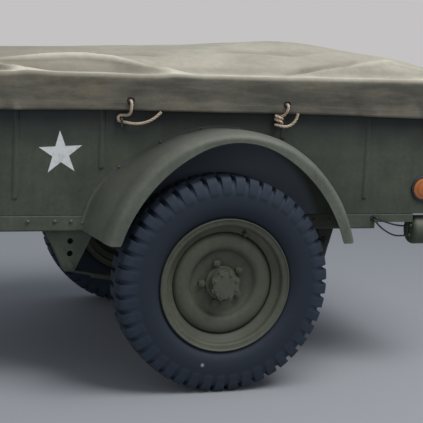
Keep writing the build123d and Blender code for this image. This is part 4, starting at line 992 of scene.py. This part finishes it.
strand_radius, strand_offset, lay_length, strand_sides = 0.00265, 0.00245, 0.034, 10
open_length, open_more = 0.010, 0.0012
ropes = [("rope_front", rope_front_route, 0.2643), ("rope_rear", rope_rear_route, 0.3443)]
for name, route, length in ropes:
    guide = laid_line(f"{name}_guide", route)
    guide.data.splines[0].resolution_u = 8
    traced = bpy.data.meshes.new_from_object(guide)
    line = [vertex.co.copy() for vertex in traced.vertices]
    bpy.data.objects.remove(guide)
    travelled = [0.0]
    for a, b in zip(line, line[1:]):
        travelled.append(travelled[-1] + (b - a).length)
    # A frame carried along the line without twist, which the lay then turns
    normal = (line[1] - line[0]).orthogonal().normalized()
    points, faces = [], []
    for strand in range(3):
        first = len(points)
        across = normal.copy()
        for i, spot in enumerate(line):
            ahead = (line[min(i + 1, len(line) - 1)] - line[max(i - 1, 0)]).normalized()
            across = (across - ahead * across.dot(ahead)).normalized()
            side_on = ahead.cross(across)
            turn = math.tau * (travelled[i] / lay_length + strand / 3)
            open_end = max(0.0, 1 - (travelled[-1] - travelled[i]) / open_length)
            out = strand_offset + open_more * open_end ** 2
            middle = spot + (across * math.cos(turn) + side_on * math.sin(turn)) * out
            thick = strand_radius * (1 - 0.25 * open_end ** 2)
            for k in range(strand_sides):
                a = math.tau * k / strand_sides
                points.append(middle + (across * math.cos(a) + side_on * math.sin(a)) * thick)
        last = first + strand_sides * (len(line) - 1)
        for ring in range(first, last, strand_sides):
            for k in range(strand_sides):
                a, b = ring + k, ring + (k + 1) % strand_sides
                faces.append((a, b, b + strand_sides, a + strand_sides))
        faces.append([first + k for k in reversed(range(strand_sides))])
        faces.append([last + k for k in range(strand_sides)])
    mesh = bpy.data.meshes.new(name)
    mesh.from_pydata(points, [], faces)
    rope = put_in(f"{name}_strands", mesh)
    turn_faces_out()
    smooth(60)
    mesh.materials.append(sisal)
    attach(rope, "chassis")
    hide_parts(name)


# Camera, light and floor
# The camera stands left of the trailer and a little above the cover, at the photograph's angle. One
# large soft lamp stands high behind and to the left, as the sky did, and a weak one fills the front.

eye = put_in("camera", bpy.data.cameras.new("camera"))
eye.location = (0.84925, 4.314, 1.245)
look_down, look_back, roll_left, focal_pixels, picture_pixels = 9.46, 18.84, 2.96, 1209.3, 423
heading = Euler((math.radians(90 - look_down), 0, math.radians(180 - look_back))).to_quaternion()
eye.rotation_mode = "QUATERNION"
eye.rotation_quaternion = heading @ Quaternion((0, 0, 1), math.radians(roll_left))
eye.data.sensor_width = 36
eye.data.lens = 36 * focal_pixels / picture_pixels
bpy.context.scene.camera = eye

bpy.ops.object.select_all(action="DESELECT")
bpy.ops.mesh.primitive_plane_add(size=30, location=(0, 0, -0.0005))
floor = bpy.context.object
floor.name = "floor"
bpy.ops.object.transform_apply()
# A smooth matt floor, pale enough to show the trailer's shadow
pale_floor, add, _ = new_material("pale_floor")
shader = add("BsdfPrincipled", {"Base Color": "#8E9094", "Roughness": 0.9})
add("OutputMaterial", {"Surface": shader})
floor.data.materials.append(pale_floor)

for name, spot, aim, size, power in (
    ("sky_panel", (-1.9, 1.9, 4.8), (-0.4, 0.3, 0.7), 3.2, 250.0),
    ("front_fill", (3.4, 4.6, 1.9), (-0.2, 0.4, 0.7), 3.0, 42.0),
):
    lamp = put_in(name, bpy.data.lights.new(name, "AREA"))
    lamp.location = spot
    lamp.rotation_mode = "QUATERNION"
    lamp.rotation_quaternion = (Vector(aim) - Vector(spot)).to_track_quat("-Z", "Y")
    lamp.data.size = size
    lamp.data.energy = power

world = bpy.data.worlds.new("sky")
bpy.context.scene.world = world
world.use_nodes = True
world.node_tree.nodes.clear()
add = functools.partial(add_node, world.node_tree)
ray = add("LightPath")
ambient = add("Background", {"Color": "#C8D0DC", "Strength": 0.56})
seen = add("Background", {"Color": "#C4C2C2", "Strength": 1.0})
mixed = add("MixShader", {0: ray.outputs["Is Camera Ray"], 1: ambient, 2: seen})
add("OutputWorld", {"Surface": mixed})
bpy.context.scene.view_settings.view_transform = "Standard"
